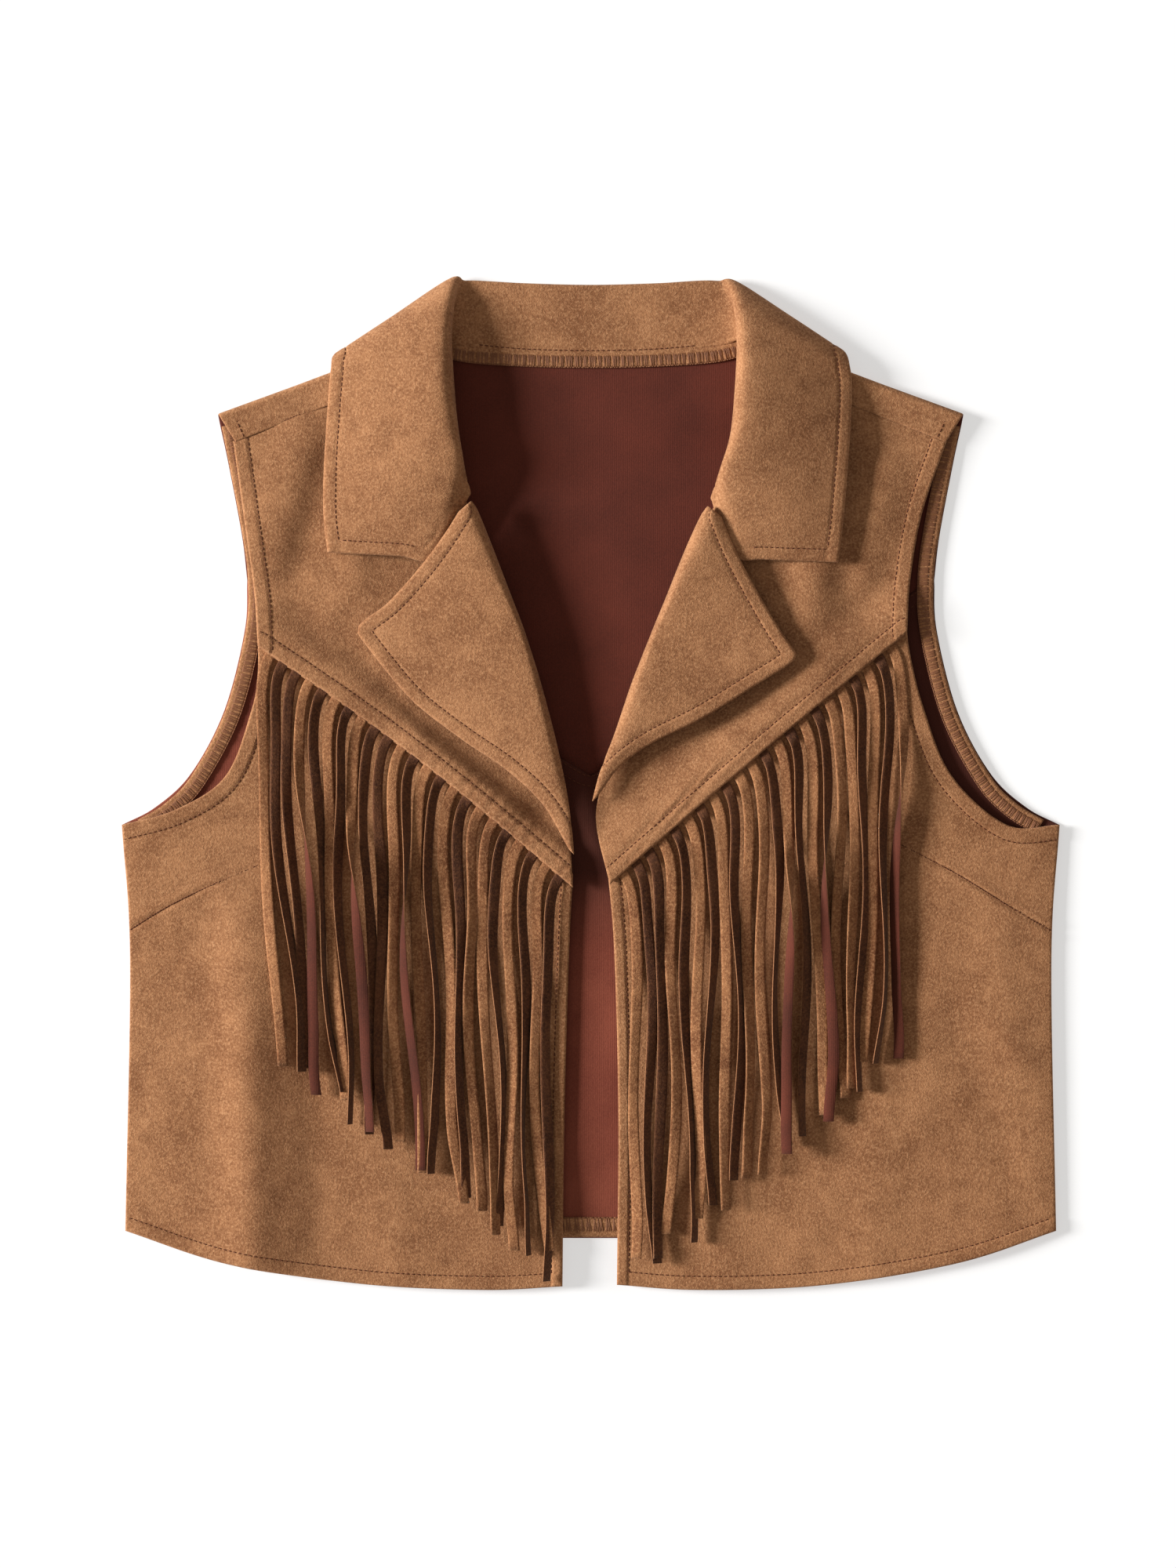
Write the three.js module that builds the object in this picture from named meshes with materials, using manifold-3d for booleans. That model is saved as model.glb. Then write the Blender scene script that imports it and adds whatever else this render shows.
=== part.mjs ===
/**
 * An open, sleeveless vest of imitation suede, laid on its back on a flat surface. It has a yoke and
 * a lower panel on each front and on the back, a notched collar, lapels turned back along the front
 * edges, and a fringe that hangs from each front's slanted yoke seam.
 *
 * Sizes are in millimetres. X runs across the vest, Y from the hem up to the collar and Z up from the
 * surface that the vest lies on. The origin is under the middle of the whole vest. "left" is the side
 * at -X, which is on the left as the vest is looked at from above.
 */
import * as THREE from 'three';
import { mergeVertices } from 'three/addons/utils/BufferGeometryUtils.js';
import Module from 'manifold-3d';

const wasm = await Module();
wasm.setup();

// The cloth
const CLOTH = 1.2;          // one layer of imitation suede
const DOUBLED = 1.8;        // two layers pressed together, as in the collar and the lapels
const TURNED = 1.0;         // an edge of cloth turned in and pressed
const GAP = 0.3;            // between two pieces at a seam, or between one piece and what it lies on
const SUEDE = '#a5743f';

// The body of the vest
const HALF_CHEST = 239;     // half the width from underarm to underarm
const UNDERARM_Y = -21;
const HEM_SIDE = { x: 237.2, y: -228 };
const BACK_HEM_Y = -231.8;
const WAIST_CURVE = 2.2;    // how far each side seam comes in at the waist
const SIDE_LOFT = 1.9;      // how far the fronts lie above the back, away from the side seams
const SIDE_ROUND = 10;      // the distance over which they rise to it

// The shoulders: the back yoke is folded over them, and its seam lies on the front
const SHOULDER_TIP = { x: 189.8, y: 188.6 };
const SHOULDER_NECK = { x: 78, y: 229.3 };
const SHOULDER_SEAM_DROP = 16;    // from the fold to the seam
const SHOULDER_FOLD_RADIUS = 2.1;

// The seams that join the yokes to the lower panels
const BACK_SEAM = { armX: 175.2, armY: 104, middleY: 4 };
const FRONT_SEAM = {
  left: { armX: -169.5, armY: 70, edgeX: -9, edgeY: -53, bow: 5 },
  right: { armX: 161, armY: 77, edgeX: 9.6, edgeY: -51.4, bow: 1.5 },
};
const SEAM_ALLOWANCE = 7;   // cloth of the lower panel that is pressed up under the yoke
const STRIP = { above: 6, below: 0.6, thickness: 1.0 };    // the cloth that a fringe is cut from
const SEAM_RISE = CLOTH + STRIP.thickness + 3 * GAP;      // what lies under the yoke's edge

// The collar's fall lies under the back of the neck, and lifts the back yoke
const FALL_EDGE = { middleY: 192, sideY: 214, sideX: 128 };
const FALL_LIFT = 2.2;

// The fringe
const STRAND = { length: 208, width: 7.4, thickness: 0.9, bend: 10, tilt: 32 };

// The outline of each front beside its armhole and its front edge
const ARMHOLE = {
  left: {
    upper: [[-169.5, 70], [-171.3, 96], [-176, 131], [-181.8, 172.4]],
    lower: [[-HALF_CHEST, UNDERARM_Y], [-211, -13], [-186, 4], [-173, 37], [-169.7, 56], [-169.6, 77]],
  },
  right: {
    upper: [[161, 77], [162.6, 102], [168.6, 137], [180.6, 172.4]],
    lower: [[HALF_CHEST, UNDERARM_Y], [212, -21], [184, 4], [170, 38], [163, 66], [161, 84]],
  },
};
const FRONT_EDGE = {
  left: [[-9, -46], [-11, -86], [-13.4, -170], [-14.4, -256.2]],
  right: [[8.6, -44], [12, -86], [14.1, -170], [13.3, -255.4]],
};
const FRONT_HEM = {
  left: [[-HEM_SIDE.x, HEM_SIDE.y], [-186, -244.3], [-118, -254.8], [-55, -258], [-14.4, -256.2]],
  right: [[13.3, -255.4], [55, -258], [118, -255.6], [186, -244.6], [HEM_SIDE.x, HEM_SIDE.y]],
};
// From the yoke seam up the front edge and the fold of the lapel to the gorge, then the neck seam
const YOKE_FRONT = {
  left: [[-9, -53], [-11, -28], [-18, 10], [-31.5, 61], [-44.5, 96], [-57.5, 130], [-65, 147]],
  right: [[9.6, -51.4], [2.6, -16], [11, 13], [24, 49.5], [39.6, 90], [56, 128.5], [64.6, 144]],
};
const YOKE_NECK = {
  left: [[-65, 147], [-76, 163], [-81.4, 185], [-82.6, 209]],
  right: [[64.6, 144], [76, 163], [81.4, 185], [82.6, 209]],
};

// Soft folds pressed into the fronts: where each runs, how wide it is and how high it stands
const FOLDS = [
  { from: [-176, -70], to: [-173, -235], width: 15, height: 1.2 },
  { from: [-120, -120], to: [-96, -245], width: 16, height: 0.8 },
  { from: [-141, 176], to: [-158, 118], width: 10, height: 1.5 },
  { from: [-122, 128], to: [-112, 86], width: 11, height: 1.0 },
  { from: [206, -84], to: [222, -136], width: 12, height: 0.9 },
  { from: [150, -140], to: [142, -240], width: 15, height: 1.0 },
  { from: [62, -190], to: [70, -250], width: 13, height: 0.7 },
  { from: [147, 158], to: [140, 104], width: 9, height: 1.3 },
  { from: [116, 122], to: [110, 84], width: 11, height: 0.9 },
];

// Sections of the collar, from its front end to the back of the neck. Each runs from the neck seam up
// the stand to the fold, over the crest and down the fall to the outer edge.
const COLLAR_FRONT = {
  left: [
    { seam: [-68, 141, 7.2], stand: [-64.4, 143.6, 8.6], fold: [-62.6, 144.6, 10.8],
      crest: [-70, 133.6, 12.8], mid: [-91, 118.8, 11.6], outer: [-134, 117.6, 7.8] },
    { seam: [-74, 158, 7], stand: [-68.2, 160.4, 9], fold: [-65, 161, 13],
      crest: [-70.6, 159, 18.6], mid: [-101, 145, 15.4], outer: [-136, 137, 8.2] },
    { seam: [-77.6, 178, 7], stand: [-71.2, 182.4, 9.4], fold: [-68.6, 184, 14],
      crest: [-74.2, 182, 20.4], mid: [-103, 170, 16], outer: [-135.8, 160, 8.4] },
    { seam: [-78.6, 197, 7], stand: [-72.6, 204, 9.6], fold: [-70.6, 206, 14],
      crest: [-76.6, 203.5, 20.8], mid: [-104, 192, 16], outer: [-134.5, 182, 8.6] },
    { seam: [-78.6, 211, 6.8], stand: [-73, 222, 8.8], fold: [-71.6, 226, 12.4],
      crest: [-77.2, 225, 18], mid: [-105, 212, 14.6], outer: [-133.2, 200, 8.6] },
    { seam: [-77.6, 219.6, 6.3], stand: [-72.4, 237, 7.4], fold: [-70.4, 243.4, 9.6],
      crest: [-75.5, 244.5, 12.8], mid: [-105, 227, 11.6], outer: [-132.2, 210.5, 8.4] },
    { seam: [-75, 225.6, 5.6], stand: [-70.4, 246, 5.4], fold: [-67.6, 253, 4.8],
      crest: [-71.5, 256.6, 4.4], mid: [-101, 237, 5.2], outer: [-130.2, 217.6, 4.8] },
  ],
  right: [
    { seam: [67.4, 139, 7.2], stand: [63.8, 141.4, 8.6], fold: [62, 142.4, 10.8],
      crest: [67.8, 128.2, 12.8], mid: [86, 114.4, 12], outer: [126, 112.4, 9.2] },
    { seam: [74, 156, 7], stand: [68.8, 157.6, 9], fold: [66, 158, 13],
      crest: [71, 156.4, 18.6], mid: [99, 141, 15.8], outer: [128.4, 134, 9.8] },
    { seam: [77.8, 176, 7], stand: [73.4, 176.8, 9.4], fold: [71.8, 177, 14],
      crest: [77, 176, 20.4], mid: [103, 166, 16.4], outer: [130.4, 158, 9.8] },
    { seam: [79, 196, 7], stand: [75.8, 200, 9.6], fold: [74.2, 201, 14],
      crest: [79.8, 199.5, 20.8], mid: [106, 189, 16.4], outer: [132, 181, 9.6] },
    { seam: [79, 211, 6.8], stand: [76.4, 220.6, 8.8], fold: [75.2, 224, 12.4],
      crest: [80.5, 223.5, 18], mid: [107, 211, 14.6], outer: [132.8, 200, 9] },
    { seam: [78, 219.6, 6.3], stand: [75.2, 235.6, 7.4], fold: [73.8, 241.4, 9.6],
      crest: [78.5, 243, 12.8], mid: [106, 227.5, 11.6], outer: [132, 211, 8.6] },
    { seam: [75.6, 225.6, 5.6], stand: [72.2, 244.6, 5.4], fold: [69.6, 251.4, 4.8],
      crest: [73.4, 255.4, 4.4], mid: [101, 237.5, 5.2], outer: [128.8, 219, 4.8] },
  ],
};
const COLLAR_BACK = [
  { seam: [66, 225.2, 3.9], stand: [63, 249.6, 3.3], fold: [62, 255.6, 2.1],
    crest: [65, 251, 0.9], mid: [93, 230, 0.9], outer: [118, 210.5, 0.9] },
  { seam: [36, 222, 3.5], stand: [33.6, 248.6, 3.2], fold: [33, 254.2, 2.05],
    crest: [34, 249, 0.9], mid: [42, 224, 0.9], outer: [52, 196, 0.9] },
  { seam: [0, 220.8, 3.5], stand: [0, 247.8, 3.2], fold: [0, 253.4, 2.05],
    crest: [0, 248.2, 0.9], mid: [0, 220, 0.9], outer: [0, 192, 0.9] },
];

// Sections of each lapel, from its lower end up to the gorge: its fold and its outer edge in the plan,
// and how high its foot at the fold, its crest and its edge stand above the surface
const LAPEL = {
  left: [
    { fold: [-8.6, -36], outer: [-11, -33.5], foot: 9, crest: 9.1, edge: 9 },
    { fold: [-11.2, -12], outer: [-24.5, -10.5], foot: 8.8, crest: 10.4, edge: 9.2 },
    { fold: [-15.2, 9], outer: [-43, 7], foot: 7.2, crest: 11.6, edge: 9.2 },
    { fold: [-20.2, 30], outer: [-66, 22.8], foot: 6.2, crest: 12.8, edge: 9 },
    { fold: [-26.6, 53.5], outer: [-92, 43.4], foot: 6.2, crest: 13.8, edge: 8.8 },
    { fold: [-32.4, 72], outer: [-115.5, 72], foot: 6.2, crest: 14.6, edge: 8.4 },
    { fold: [-34.2, 77.5], outer: [-118.4, 78], foot: 6.2, crest: 14.8, edge: 8.4 },
    { fold: [-36.2, 83], outer: [-115.4, 83], foot: 6.2, crest: 15, edge: 8.6 },
    { fold: [-41.6, 97], outer: [-104, 94.2], foot: 6.4, crest: 15.6, edge: 9.6 },
    { fold: [-50.6, 120.5], outer: [-86.4, 112.6], foot: 7.4, crest: 16.6, edge: 12.4 },
    { fold: [-57.6, 138], outer: [-74.6, 129], foot: 10, crest: 17, edge: 14.8 },
    { fold: [-60.8, 143.4], outer: [-66, 137.6], foot: 14.4, crest: 16.4, edge: 15.4 },
  ],
  right: [
    { fold: [1, -9], outer: [3.4, -6.6], foot: 8.6, crest: 8.8, edge: 8.7 },
    { fold: [5.8, 7.5], outer: [14.5, 8.2], foot: 7.8, crest: 9.8, edge: 9 },
    { fold: [12.8, 26], outer: [31, 20.5], foot: 6.6, crest: 11.6, edge: 9.4 },
    { fold: [20.8, 49.5], outer: [57, 33.4], foot: 6.2, crest: 13.4, edge: 10 },
    { fold: [26.4, 64], outer: [84, 50], foot: 6.2, crest: 14.4, edge: 10.2 },
    { fold: [29.2, 71], outer: [100.4, 60.4], foot: 6.2, crest: 14.8, edge: 10 },
    { fold: [31.2, 76], outer: [104.2, 65.2], foot: 6.2, crest: 15, edge: 10 },
    { fold: [33.2, 81], outer: [101.4, 70.4], foot: 6.2, crest: 15.2, edge: 10.2 },
    { fold: [39, 95], outer: [92.6, 83.2], foot: 6.4, crest: 15.8, edge: 10.8 },
    { fold: [47.6, 116.5], outer: [79.2, 107], foot: 7.4, crest: 16.6, edge: 12.8 },
    { fold: [55.6, 134.4], outer: [68.6, 124], foot: 10, crest: 17, edge: 15 },
    { fold: [59.6, 140.8], outer: [64.4, 133.6], foot: 14.4, crest: 16.4, edge: 15.6 },
  ],
};
const LAPEL_ROLL = 6;       // from the fold to the crest

// The strands of each fringe, from the armhole to the front edge: how far each leans towards +X at its
// end, how far it has turned over there, and how far it is lifted over its neighbours
const STRANDS = {
  left: [
    { lean: 11, turn: 34, lift: 0 }, { lean: 13.5, turn: 62, lift: 0 }, { lean: 12.5, turn: 44, lift: 0.4 },
    { lean: 13, turn: 162, lift: 4.4 }, { lean: 12, turn: 78, lift: 0 }, { lean: 10.5, turn: 46, lift: 0 },
    { lean: 8, turn: 60, lift: 0 }, { lean: 7.6, turn: 156, lift: 5 }, { lean: 5, turn: 38, lift: 0 },
    { lean: 5.6, turn: 50, lift: 0 }, { lean: 5, turn: 40, lift: 0 }, { lean: 5, turn: 152, lift: 3.8 },
    { lean: 4.8, turn: 74, lift: 0 }, { lean: 5.4, turn: 66, lift: 0 }, { lean: 6.4, turn: 38, lift: 0 },
    { lean: 6.6, turn: 42, lift: 0 }, { lean: 6.2, turn: 36, lift: 0 }, { lean: 5.2, turn: 72, lift: 0 },
    { lean: 4.6, turn: 58, lift: 0 }, { lean: 4.4, turn: 36, lift: 0 }, { lean: 4, turn: 84, lift: 0 },
    { lean: 3.2, turn: 46, lift: 0 }, { lean: 1.8, turn: 34, lift: 0 },
  ],
  right: [
    { lean: -7.4, turn: 158, lift: 1.6 }, { lean: -6.8, turn: 66, lift: 0 },
    { lean: -5.2, turn: 42, lift: 0 }, { lean: -3, turn: 54, lift: 0 },
    { lean: -0.6, turn: 72, lift: 0 }, { lean: 1.6, turn: 42, lift: 0 },
    { lean: 2.8, turn: 160, lift: 4.2 }, { lean: 3, turn: 40, lift: 0 }, { lean: 3.6, turn: 42, lift: 0 },
    { lean: 1.8, turn: 152, lift: 4.2 }, { lean: 1.2, turn: 76, lift: 0 }, { lean: 0.4, turn: 64, lift: 0 },
    { lean: -0.2, turn: 38, lift: 0 }, { lean: -0.4, turn: 70, lift: 0 }, { lean: -0.4, turn: 56, lift: 0 },
    { lean: -0.2, turn: 40, lift: 0 }, { lean: 0, turn: 36, lift: 0 }, { lean: 0.2, turn: 46, lift: 0 },
    { lean: 0.4, turn: 36, lift: 0 }, { lean: 0.4, turn: 52, lift: 0 }, { lean: 0.4, turn: 42, lift: 0 },
    { lean: 0.6, turn: 34, lift: 0 },
  ],
};
// Distances along a strand at which it has a section, from its root inside the strip to its end
const STRAND_STATIONS = [-3, 1, 7, 15, 29, 42, 54, 65, 76, 87, 99, 113, 140, 174, STRAND.length];
// The triangles of a strand's four sides between two sections, whose corners are 0 to 3 and 4 to 7.
// Its two wide sides are cut along the same diagonal, so that they stay apart where it turns over.
const STRAND_SIDES = [[0, 1, 5], [0, 5, 4], [1, 2, 6], [1, 6, 5], [2, 3, 6], [3, 7, 6], [3, 0, 4], [3, 4, 7]];

const clamp = THREE.MathUtils.clamp;
const smooth = (t) => THREE.MathUtils.smoothstep(t, 0, 1);

// Curves and patches in the plan of the vest

/** A smooth curve through points, as a function of 0 to 1. A point is [x, y] or [x, y, z]. */
function through(points) {
  const corners = points.map(([x, y, z = 0]) => new THREE.Vector3(x, y, z));
  const curve = new THREE.CatmullRomCurve3(corners, false, 'catmullrom', 0.5);
  return (t) => curve.getPoint(t);
}

/** Curves end to end, each with its share of 0 to 1, so that the corner between them stays sharp. */
function joined(...pieces) {
  return (t) => {
    let start = 0;
    for (const { curve, share } of pieces.slice(0, -1)) {
      if (t <= start + share) return curve((t - start) / share);
      start += share;
    }
    return pieces.at(-1).curve((t - start) / (1 - start));
  };
}

const reversed = (curve) => (t) => curve(1 - t);
const mix = (a, b, t) => a.clone().lerp(b, t);

/** The patch of a plane between four edges that meet at its corners. */
function patch({ bottom, top, left, right }) {
  return (u, v) => {
    const corners = mix(mix(bottom(0), bottom(1), u), mix(top(0), top(1), u), v);
    return mix(bottom(u), top(u), v).add(mix(left(v), right(v), u)).sub(corners);
  };
}

/** Puts a front's armhole edge and front edge in order from -X to +X. */
const inOrder = (side, arm, front) => (side === 'left' ? [arm, front] : [front, arm]);

// Seams and heights

/** The height in the plan of a front's yoke seam at x. */
function frontSeamY(side, x) {
  const { armX, armY, edgeX, edgeY, bow } = FRONT_SEAM[side];
  const t = (x - armX) / (edgeX - armX);
  return armY + (edgeY - armY) * t + bow * Math.sin(Math.PI * clamp(t, 0, 1));
}

/** A front's yoke seam from -X to +X, moved up the vest by `up`. */
function frontSeam(side, up = 0) {
  const { armX, edgeX } = FRONT_SEAM[side];
  const [start, end] = inOrder(side, armX, edgeX);
  return (t) => {
    const x = start + (end - start) * t;
    return new THREE.Vector3(x, frontSeamY(side, x) + up, 0);
  };
}

/** How far the collar's fall lifts the back yoke, and with it what lies on the yoke. */
function fallLift(x, y) {
  const edge = FALL_EDGE.middleY + (FALL_EDGE.sideY - FALL_EDGE.middleY) * (x / FALL_EDGE.sideX) ** 2;
  const ramp = 12;
  const clear = 5;
  const over = smooth((y - edge + clear) / ramp + 1);
  const beside = smooth((FALL_EDGE.sideX + clear - Math.abs(x)) / ramp + 1);
  return FALL_LIFT * over * beside;
}

/** The soft folds' height at a point. */
function foldHeight(x, y) {
  const here = new THREE.Vector2(x, y);
  return FOLDS.reduce((sum, { from, to, width, height }) => {
    const start = new THREE.Vector2(...from);
    const along = new THREE.Vector2(...to).sub(start);
    const t = clamp(here.clone().sub(start).dot(along) / along.lengthSq(), 0, 1);
    const off = here.distanceTo(start.addScaledVector(along, t)) / width;
    return sum + height * Math.exp(-off * off);
  }, 0);
}

/** The underside of the fronts, above the back. */
function frontUnderside(x, y) {
  const loft = SIDE_LOFT * (1 - Math.exp(-Math.max(HALF_CHEST - Math.abs(x), 0) / SIDE_ROUND));
  const settled = smooth((HALF_CHEST - Math.abs(x)) / 30);
  return CLOTH + GAP + fallLift(x, y) + loft + foldHeight(x, y) * settled;
}

// Walls of cloth

/** The unit normal of a sheet whose middle is point(u, v). */
function normalOf(point, u, v) {
  const step = 1e-3;
  const across = point(Math.min(u + step, 1), v).sub(point(Math.max(u - step, 0), v));
  const along = point(u, Math.min(v + step, 1)).sub(point(u, Math.max(v - step, 0)));
  return across.cross(along).normalize();
}

/** A closed wall of cloth of an even thickness about the sheet point(u, v). */
function wall(point, columns, rows, thickness) {
  const slab = new THREE.BoxGeometry(1, 1, 1, columns, rows, 1);
  slab.deleteAttribute('normal');
  slab.deleteAttribute('uv');
  const geometry = mergeVertices(slab);
  const places = geometry.attributes.position;
  for (let i = 0; i < places.count; i += 1) {
    const u = places.getX(i) + 0.5;
    const v = places.getY(i) + 0.5;
    const place = point(u, v).addScaledVector(normalOf(point, u, v), places.getZ(i) * thickness);
    places.setXYZ(i, place.x, place.y, place.z);
  }
  return geometry;
}

/** The place in the plan of the row that a sheet has at v, where its rows aren't evenly spaced. */
function rowAt(rows, v) {
  const row = v * (rows.length - 1);
  const before = Math.min(Math.floor(row), rows.length - 2);
  return rows[before] + (rows[before + 1] - rows[before]) * (row - before);
}

/** A named piece of the vest. */
function piece(name, geometry, colour = SUEDE) {
  const material = new THREE.MeshStandardMaterial({ color: colour, roughness: 0.95, metalness: 0 });
  const mesh = new THREE.Mesh(geometry, material);
  mesh.name = name;
  return mesh;
}

/** A sheet over a plan, whose underside is at underside(x, y). */
function laid(plan, underside, thickness = CLOTH) {
  return (u, v) => {
    const place = plan(u, v);
    place.z = underside(place.x, place.y) + thickness / 2;
    return place;
  };
}

/** A smooth sheet through sections, each a list of as many points. u runs from section to section. */
function lofted(sections) {
  const lines = sections[0].map((_, i) => through(sections.map((section) => section[i])));
  return (u, v) => through(lines.map((line) => line(u).toArray()))(v);
}

// The back

/** The back's yoke seam, from -X to +X, with its point at the middle. */
function backSeam(up = 0) {
  const { armX, armY, middleY } = BACK_SEAM;
  return joined(
    { curve: through([[-armX, armY + up], [0, middleY + up]]), share: 0.5 },
    { curve: through([[0, middleY + up], [armX, armY + up]]), share: 0.5 },
  );
}

function backPanel() {
  const armhole = (sign) => through([
    [sign * HALF_CHEST, UNDERARM_Y],
    [sign * 222, -12],
    [sign * 204, 5],
    [sign * 187, 37],
    [sign * 176.5, 78],
    [sign * BACK_SEAM.armX, BACK_SEAM.armY],
  ]);
  const side = (sign) => through([
    [sign * HEM_SIDE.x, HEM_SIDE.y],
    [sign * (HALF_CHEST - WAIST_CURVE - 2), -90],
    [sign * HALF_CHEST, UNDERARM_Y],
  ]);
  const bottom = through([[-HEM_SIDE.x, HEM_SIDE.y], [0, BACK_HEM_Y], [HEM_SIDE.x, HEM_SIDE.y]]);
  const top = joined(
    { curve: armhole(-1), share: 0.25 },
    { curve: backSeam(), share: 0.5 },
    { curve: reversed(armhole(1)), share: 0.25 },
  );
  const plan = patch({ bottom, top, left: side(-1), right: side(1) });
  return piece('back_panel', wall(laid(plan, () => 0), 20, 8, CLOTH));
}

/** Folds the flat cut of the back yoke over the shoulder on the side of its own sign. */
function foldOverShoulder(flat) {
  const sign = Math.sign(flat.x) || 1;
  const tip = new THREE.Vector3(sign * SHOULDER_TIP.x, SHOULDER_TIP.y, 0);
  const neck = new THREE.Vector3(sign * SHOULDER_NECK.x, SHOULDER_NECK.y, 0);
  const along = neck.clone().sub(tip).normalize();
  const out = new THREE.Vector3(-along.y, along.x, 0).multiplyScalar(sign < 0 ? 1 : -1);
  const radius = SHOULDER_FOLD_RADIUS;
  const past = flat.clone().sub(tip).dot(out) + radius + CLOTH / 2;
  const lift = fallLift(flat.x, Math.min(flat.y, SHOULDER_NECK.y));
  if (past <= 0) return flat.clone().setZ(CLOTH / 2 + lift);
  const onFold = flat.clone().addScaledVector(out, -past);
  const angle = Math.min(past / radius, Math.PI);
  const back = Math.max(past - Math.PI * radius, 0);
  onFold.addScaledVector(out, radius * Math.sin(angle) - back);
  return onFold.setZ(CLOTH / 2 + lift + radius * (1 - Math.cos(angle)));
}

function backYoke() {
  const wrap = SHOULDER_SEAM_DROP - CLOTH / 2 + (Math.PI - 2) * SHOULDER_FOLD_RADIUS;
  const side = (sign) => through([
    [sign * BACK_SEAM.armX, BACK_SEAM.armY + GAP],
    [sign * 178, 127],
    [sign * 185, 164],
    [sign * SHOULDER_TIP.x, SHOULDER_TIP.y - 2],
    [sign * (SHOULDER_TIP.x + 3), SHOULDER_TIP.y + wrap - 4],
  ]);
  const shoulder = (sign) => through([
    [sign * (SHOULDER_TIP.x + 3), SHOULDER_TIP.y + wrap - 4],
    [sign * (SHOULDER_NECK.x + 15), SHOULDER_NECK.y + wrap - 3.8],
  ]);
  const neck = (sign) => through([
    [sign * (SHOULDER_NECK.x + 15), SHOULDER_NECK.y + wrap - 3.8],
    [sign * (SHOULDER_NECK.x + 4), SHOULDER_NECK.y],
    [sign * 68, 222.4],
    [sign * 36, 220],
    [0, 219],
  ]);
  const top = joined(
    { curve: shoulder(-1), share: 0.25 },
    { curve: neck(-1), share: 0.25 },
    { curve: reversed(neck(1)), share: 0.25 },
    { curve: reversed(shoulder(1)), share: 0.25 },
  );
  const plan = patch({ bottom: backSeam(GAP), top, left: side(-1), right: side(1) });
  // More rows lie near the top, where the yoke is folded
  const rows = [0, 0.2, 0.4, 0.55, 0.66, 0.74, 0.8, 0.84, 0.87, 0.89, 0.91, 0.93, 0.95, 0.97, 0.985, 1];
  const sheet = (u, v) => foldOverShoulder(plan(u, rowAt(rows, v)));
  return piece('back_yoke', wall(sheet, 24, rows.length - 1, CLOTH));
}

// The fronts

function frontPanel(side) {
  const armhole = { curve: through(ARMHOLE[side].lower), share: 0.4 };
  const seam = { curve: frontSeam(side, SEAM_ALLOWANCE), share: 0.6 };
  const armholeOut = { curve: reversed(armhole.curve), share: armhole.share };
  const top = side === 'left' ? joined(armhole, seam) : joined(seam, armholeOut);
  const sign = side === 'left' ? -1 : 1;
  const sideSeam = through([
    [sign * HEM_SIDE.x, HEM_SIDE.y],
    [sign * (HALF_CHEST - WAIST_CURVE - 2), -90],
    [sign * HALF_CHEST, UNDERARM_Y],
  ]);
  const [left, right] = inOrder(side, sideSeam, reversed(through(FRONT_EDGE[side])));
  const plan = patch({ bottom: through(FRONT_HEM[side]), top, left, right });
  return piece(`front_panel_${side}`, wall(laid(plan, frontUnderside), 15, 12, CLOTH));
}

/** The line on the front where the folded back yoke ends and the front yoke begins. */
function shoulderSeam(side) {
  const sign = side === 'left' ? -1 : 1;
  const arm = new THREE.Vector3(...ARMHOLE[side].upper.at(-1), 0);
  const neck = new THREE.Vector3(sign * Math.abs(YOKE_NECK[side].at(-1)[0]), YOKE_NECK[side].at(-1)[1], 0);
  const [start, end] = inOrder(side, arm, neck);
  return (t) => mix(start, end, t);
}

function frontYoke(side) {
  const arm = through(ARMHOLE[side].upper);
  const front = joined(
    { curve: through(YOKE_FRONT[side]), share: 0.75 },
    { curve: through(YOKE_NECK[side]), share: 0.25 },
  );
  const [left, right] = inOrder(side, arm, front);
  const plan = patch({ bottom: frontSeam(side), top: shoulderSeam(side), left, right });
  // The first rows lie over the seam, where the yoke is lifted by the allowance and the strip
  const rows = [0, 0.05, 0.1, 0.15, 0.2, 0.28, 0.36, 0.44, 0.52, 0.6, 0.68, 0.76, 0.84, 0.92, 1];
  const sheet = (u, v) => {
    const row = rowAt(rows, v);
    const place = laid(plan, frontUnderside)(u, row);
    place.z += SEAM_RISE * smooth(2 - row / 0.1);
    return place;
  };
  return piece(`front_yoke_${side}`, wall(sheet, 12, rows.length - 1, CLOTH));
}

/** A lapel's section: up round the fold, over the crest and down to the outer edge. */
function lapelSection({ fold, outer, foot, crest, edge }) {
  const start = new THREE.Vector2(...fold);
  const end = new THREE.Vector2(...outer);
  const width = start.distanceTo(end);
  const roll = Math.min(LAPEL_ROLL, width / 3);
  const at = (distance, z) => [...start.clone().lerp(end, distance / width).toArray(), z];
  return [
    at(0, foot),
    at(roll * 0.25, foot + (crest - foot) * 0.75),
    at(roll, crest),
    at(roll + (width - roll) * 0.5, edge + (crest - edge) * 0.62),
    at(width, edge),
  ];
}

function lapel(side) {
  const sections = LAPEL[side].map(lapelSection);
  // On the left the sections run towards -X, so the sheet is taken from the gorge down
  const ordered = side === 'left' ? sections.reverse() : sections;
  return piece(`lapel_${side}`, wall(lofted(ordered), 22, 8, DOUBLED));
}

function collar() {
  const points = ({ seam, stand, fold, crest, mid, outer }) => [seam, stand, fold, crest, mid, outer];
  const mirrored = (section) => section.map(([x, y, z]) => [-x, y, z]);
  const back = COLLAR_BACK.map(points);
  const sections = [
    ...COLLAR_FRONT.left.map(points),
    ...back.map(mirrored),
    ...back.slice(0, -1).reverse(),
    ...COLLAR_FRONT.right.map(points).reverse(),
  ];
  const sheet = (u, v) => {
    const place = lofted(sections)(u, v);
    place.z = Math.max(place.z, DOUBLED / 2);
    return place;
  };
  return piece('collar', wall(sheet, 44, 15, DOUBLED));
}

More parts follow.
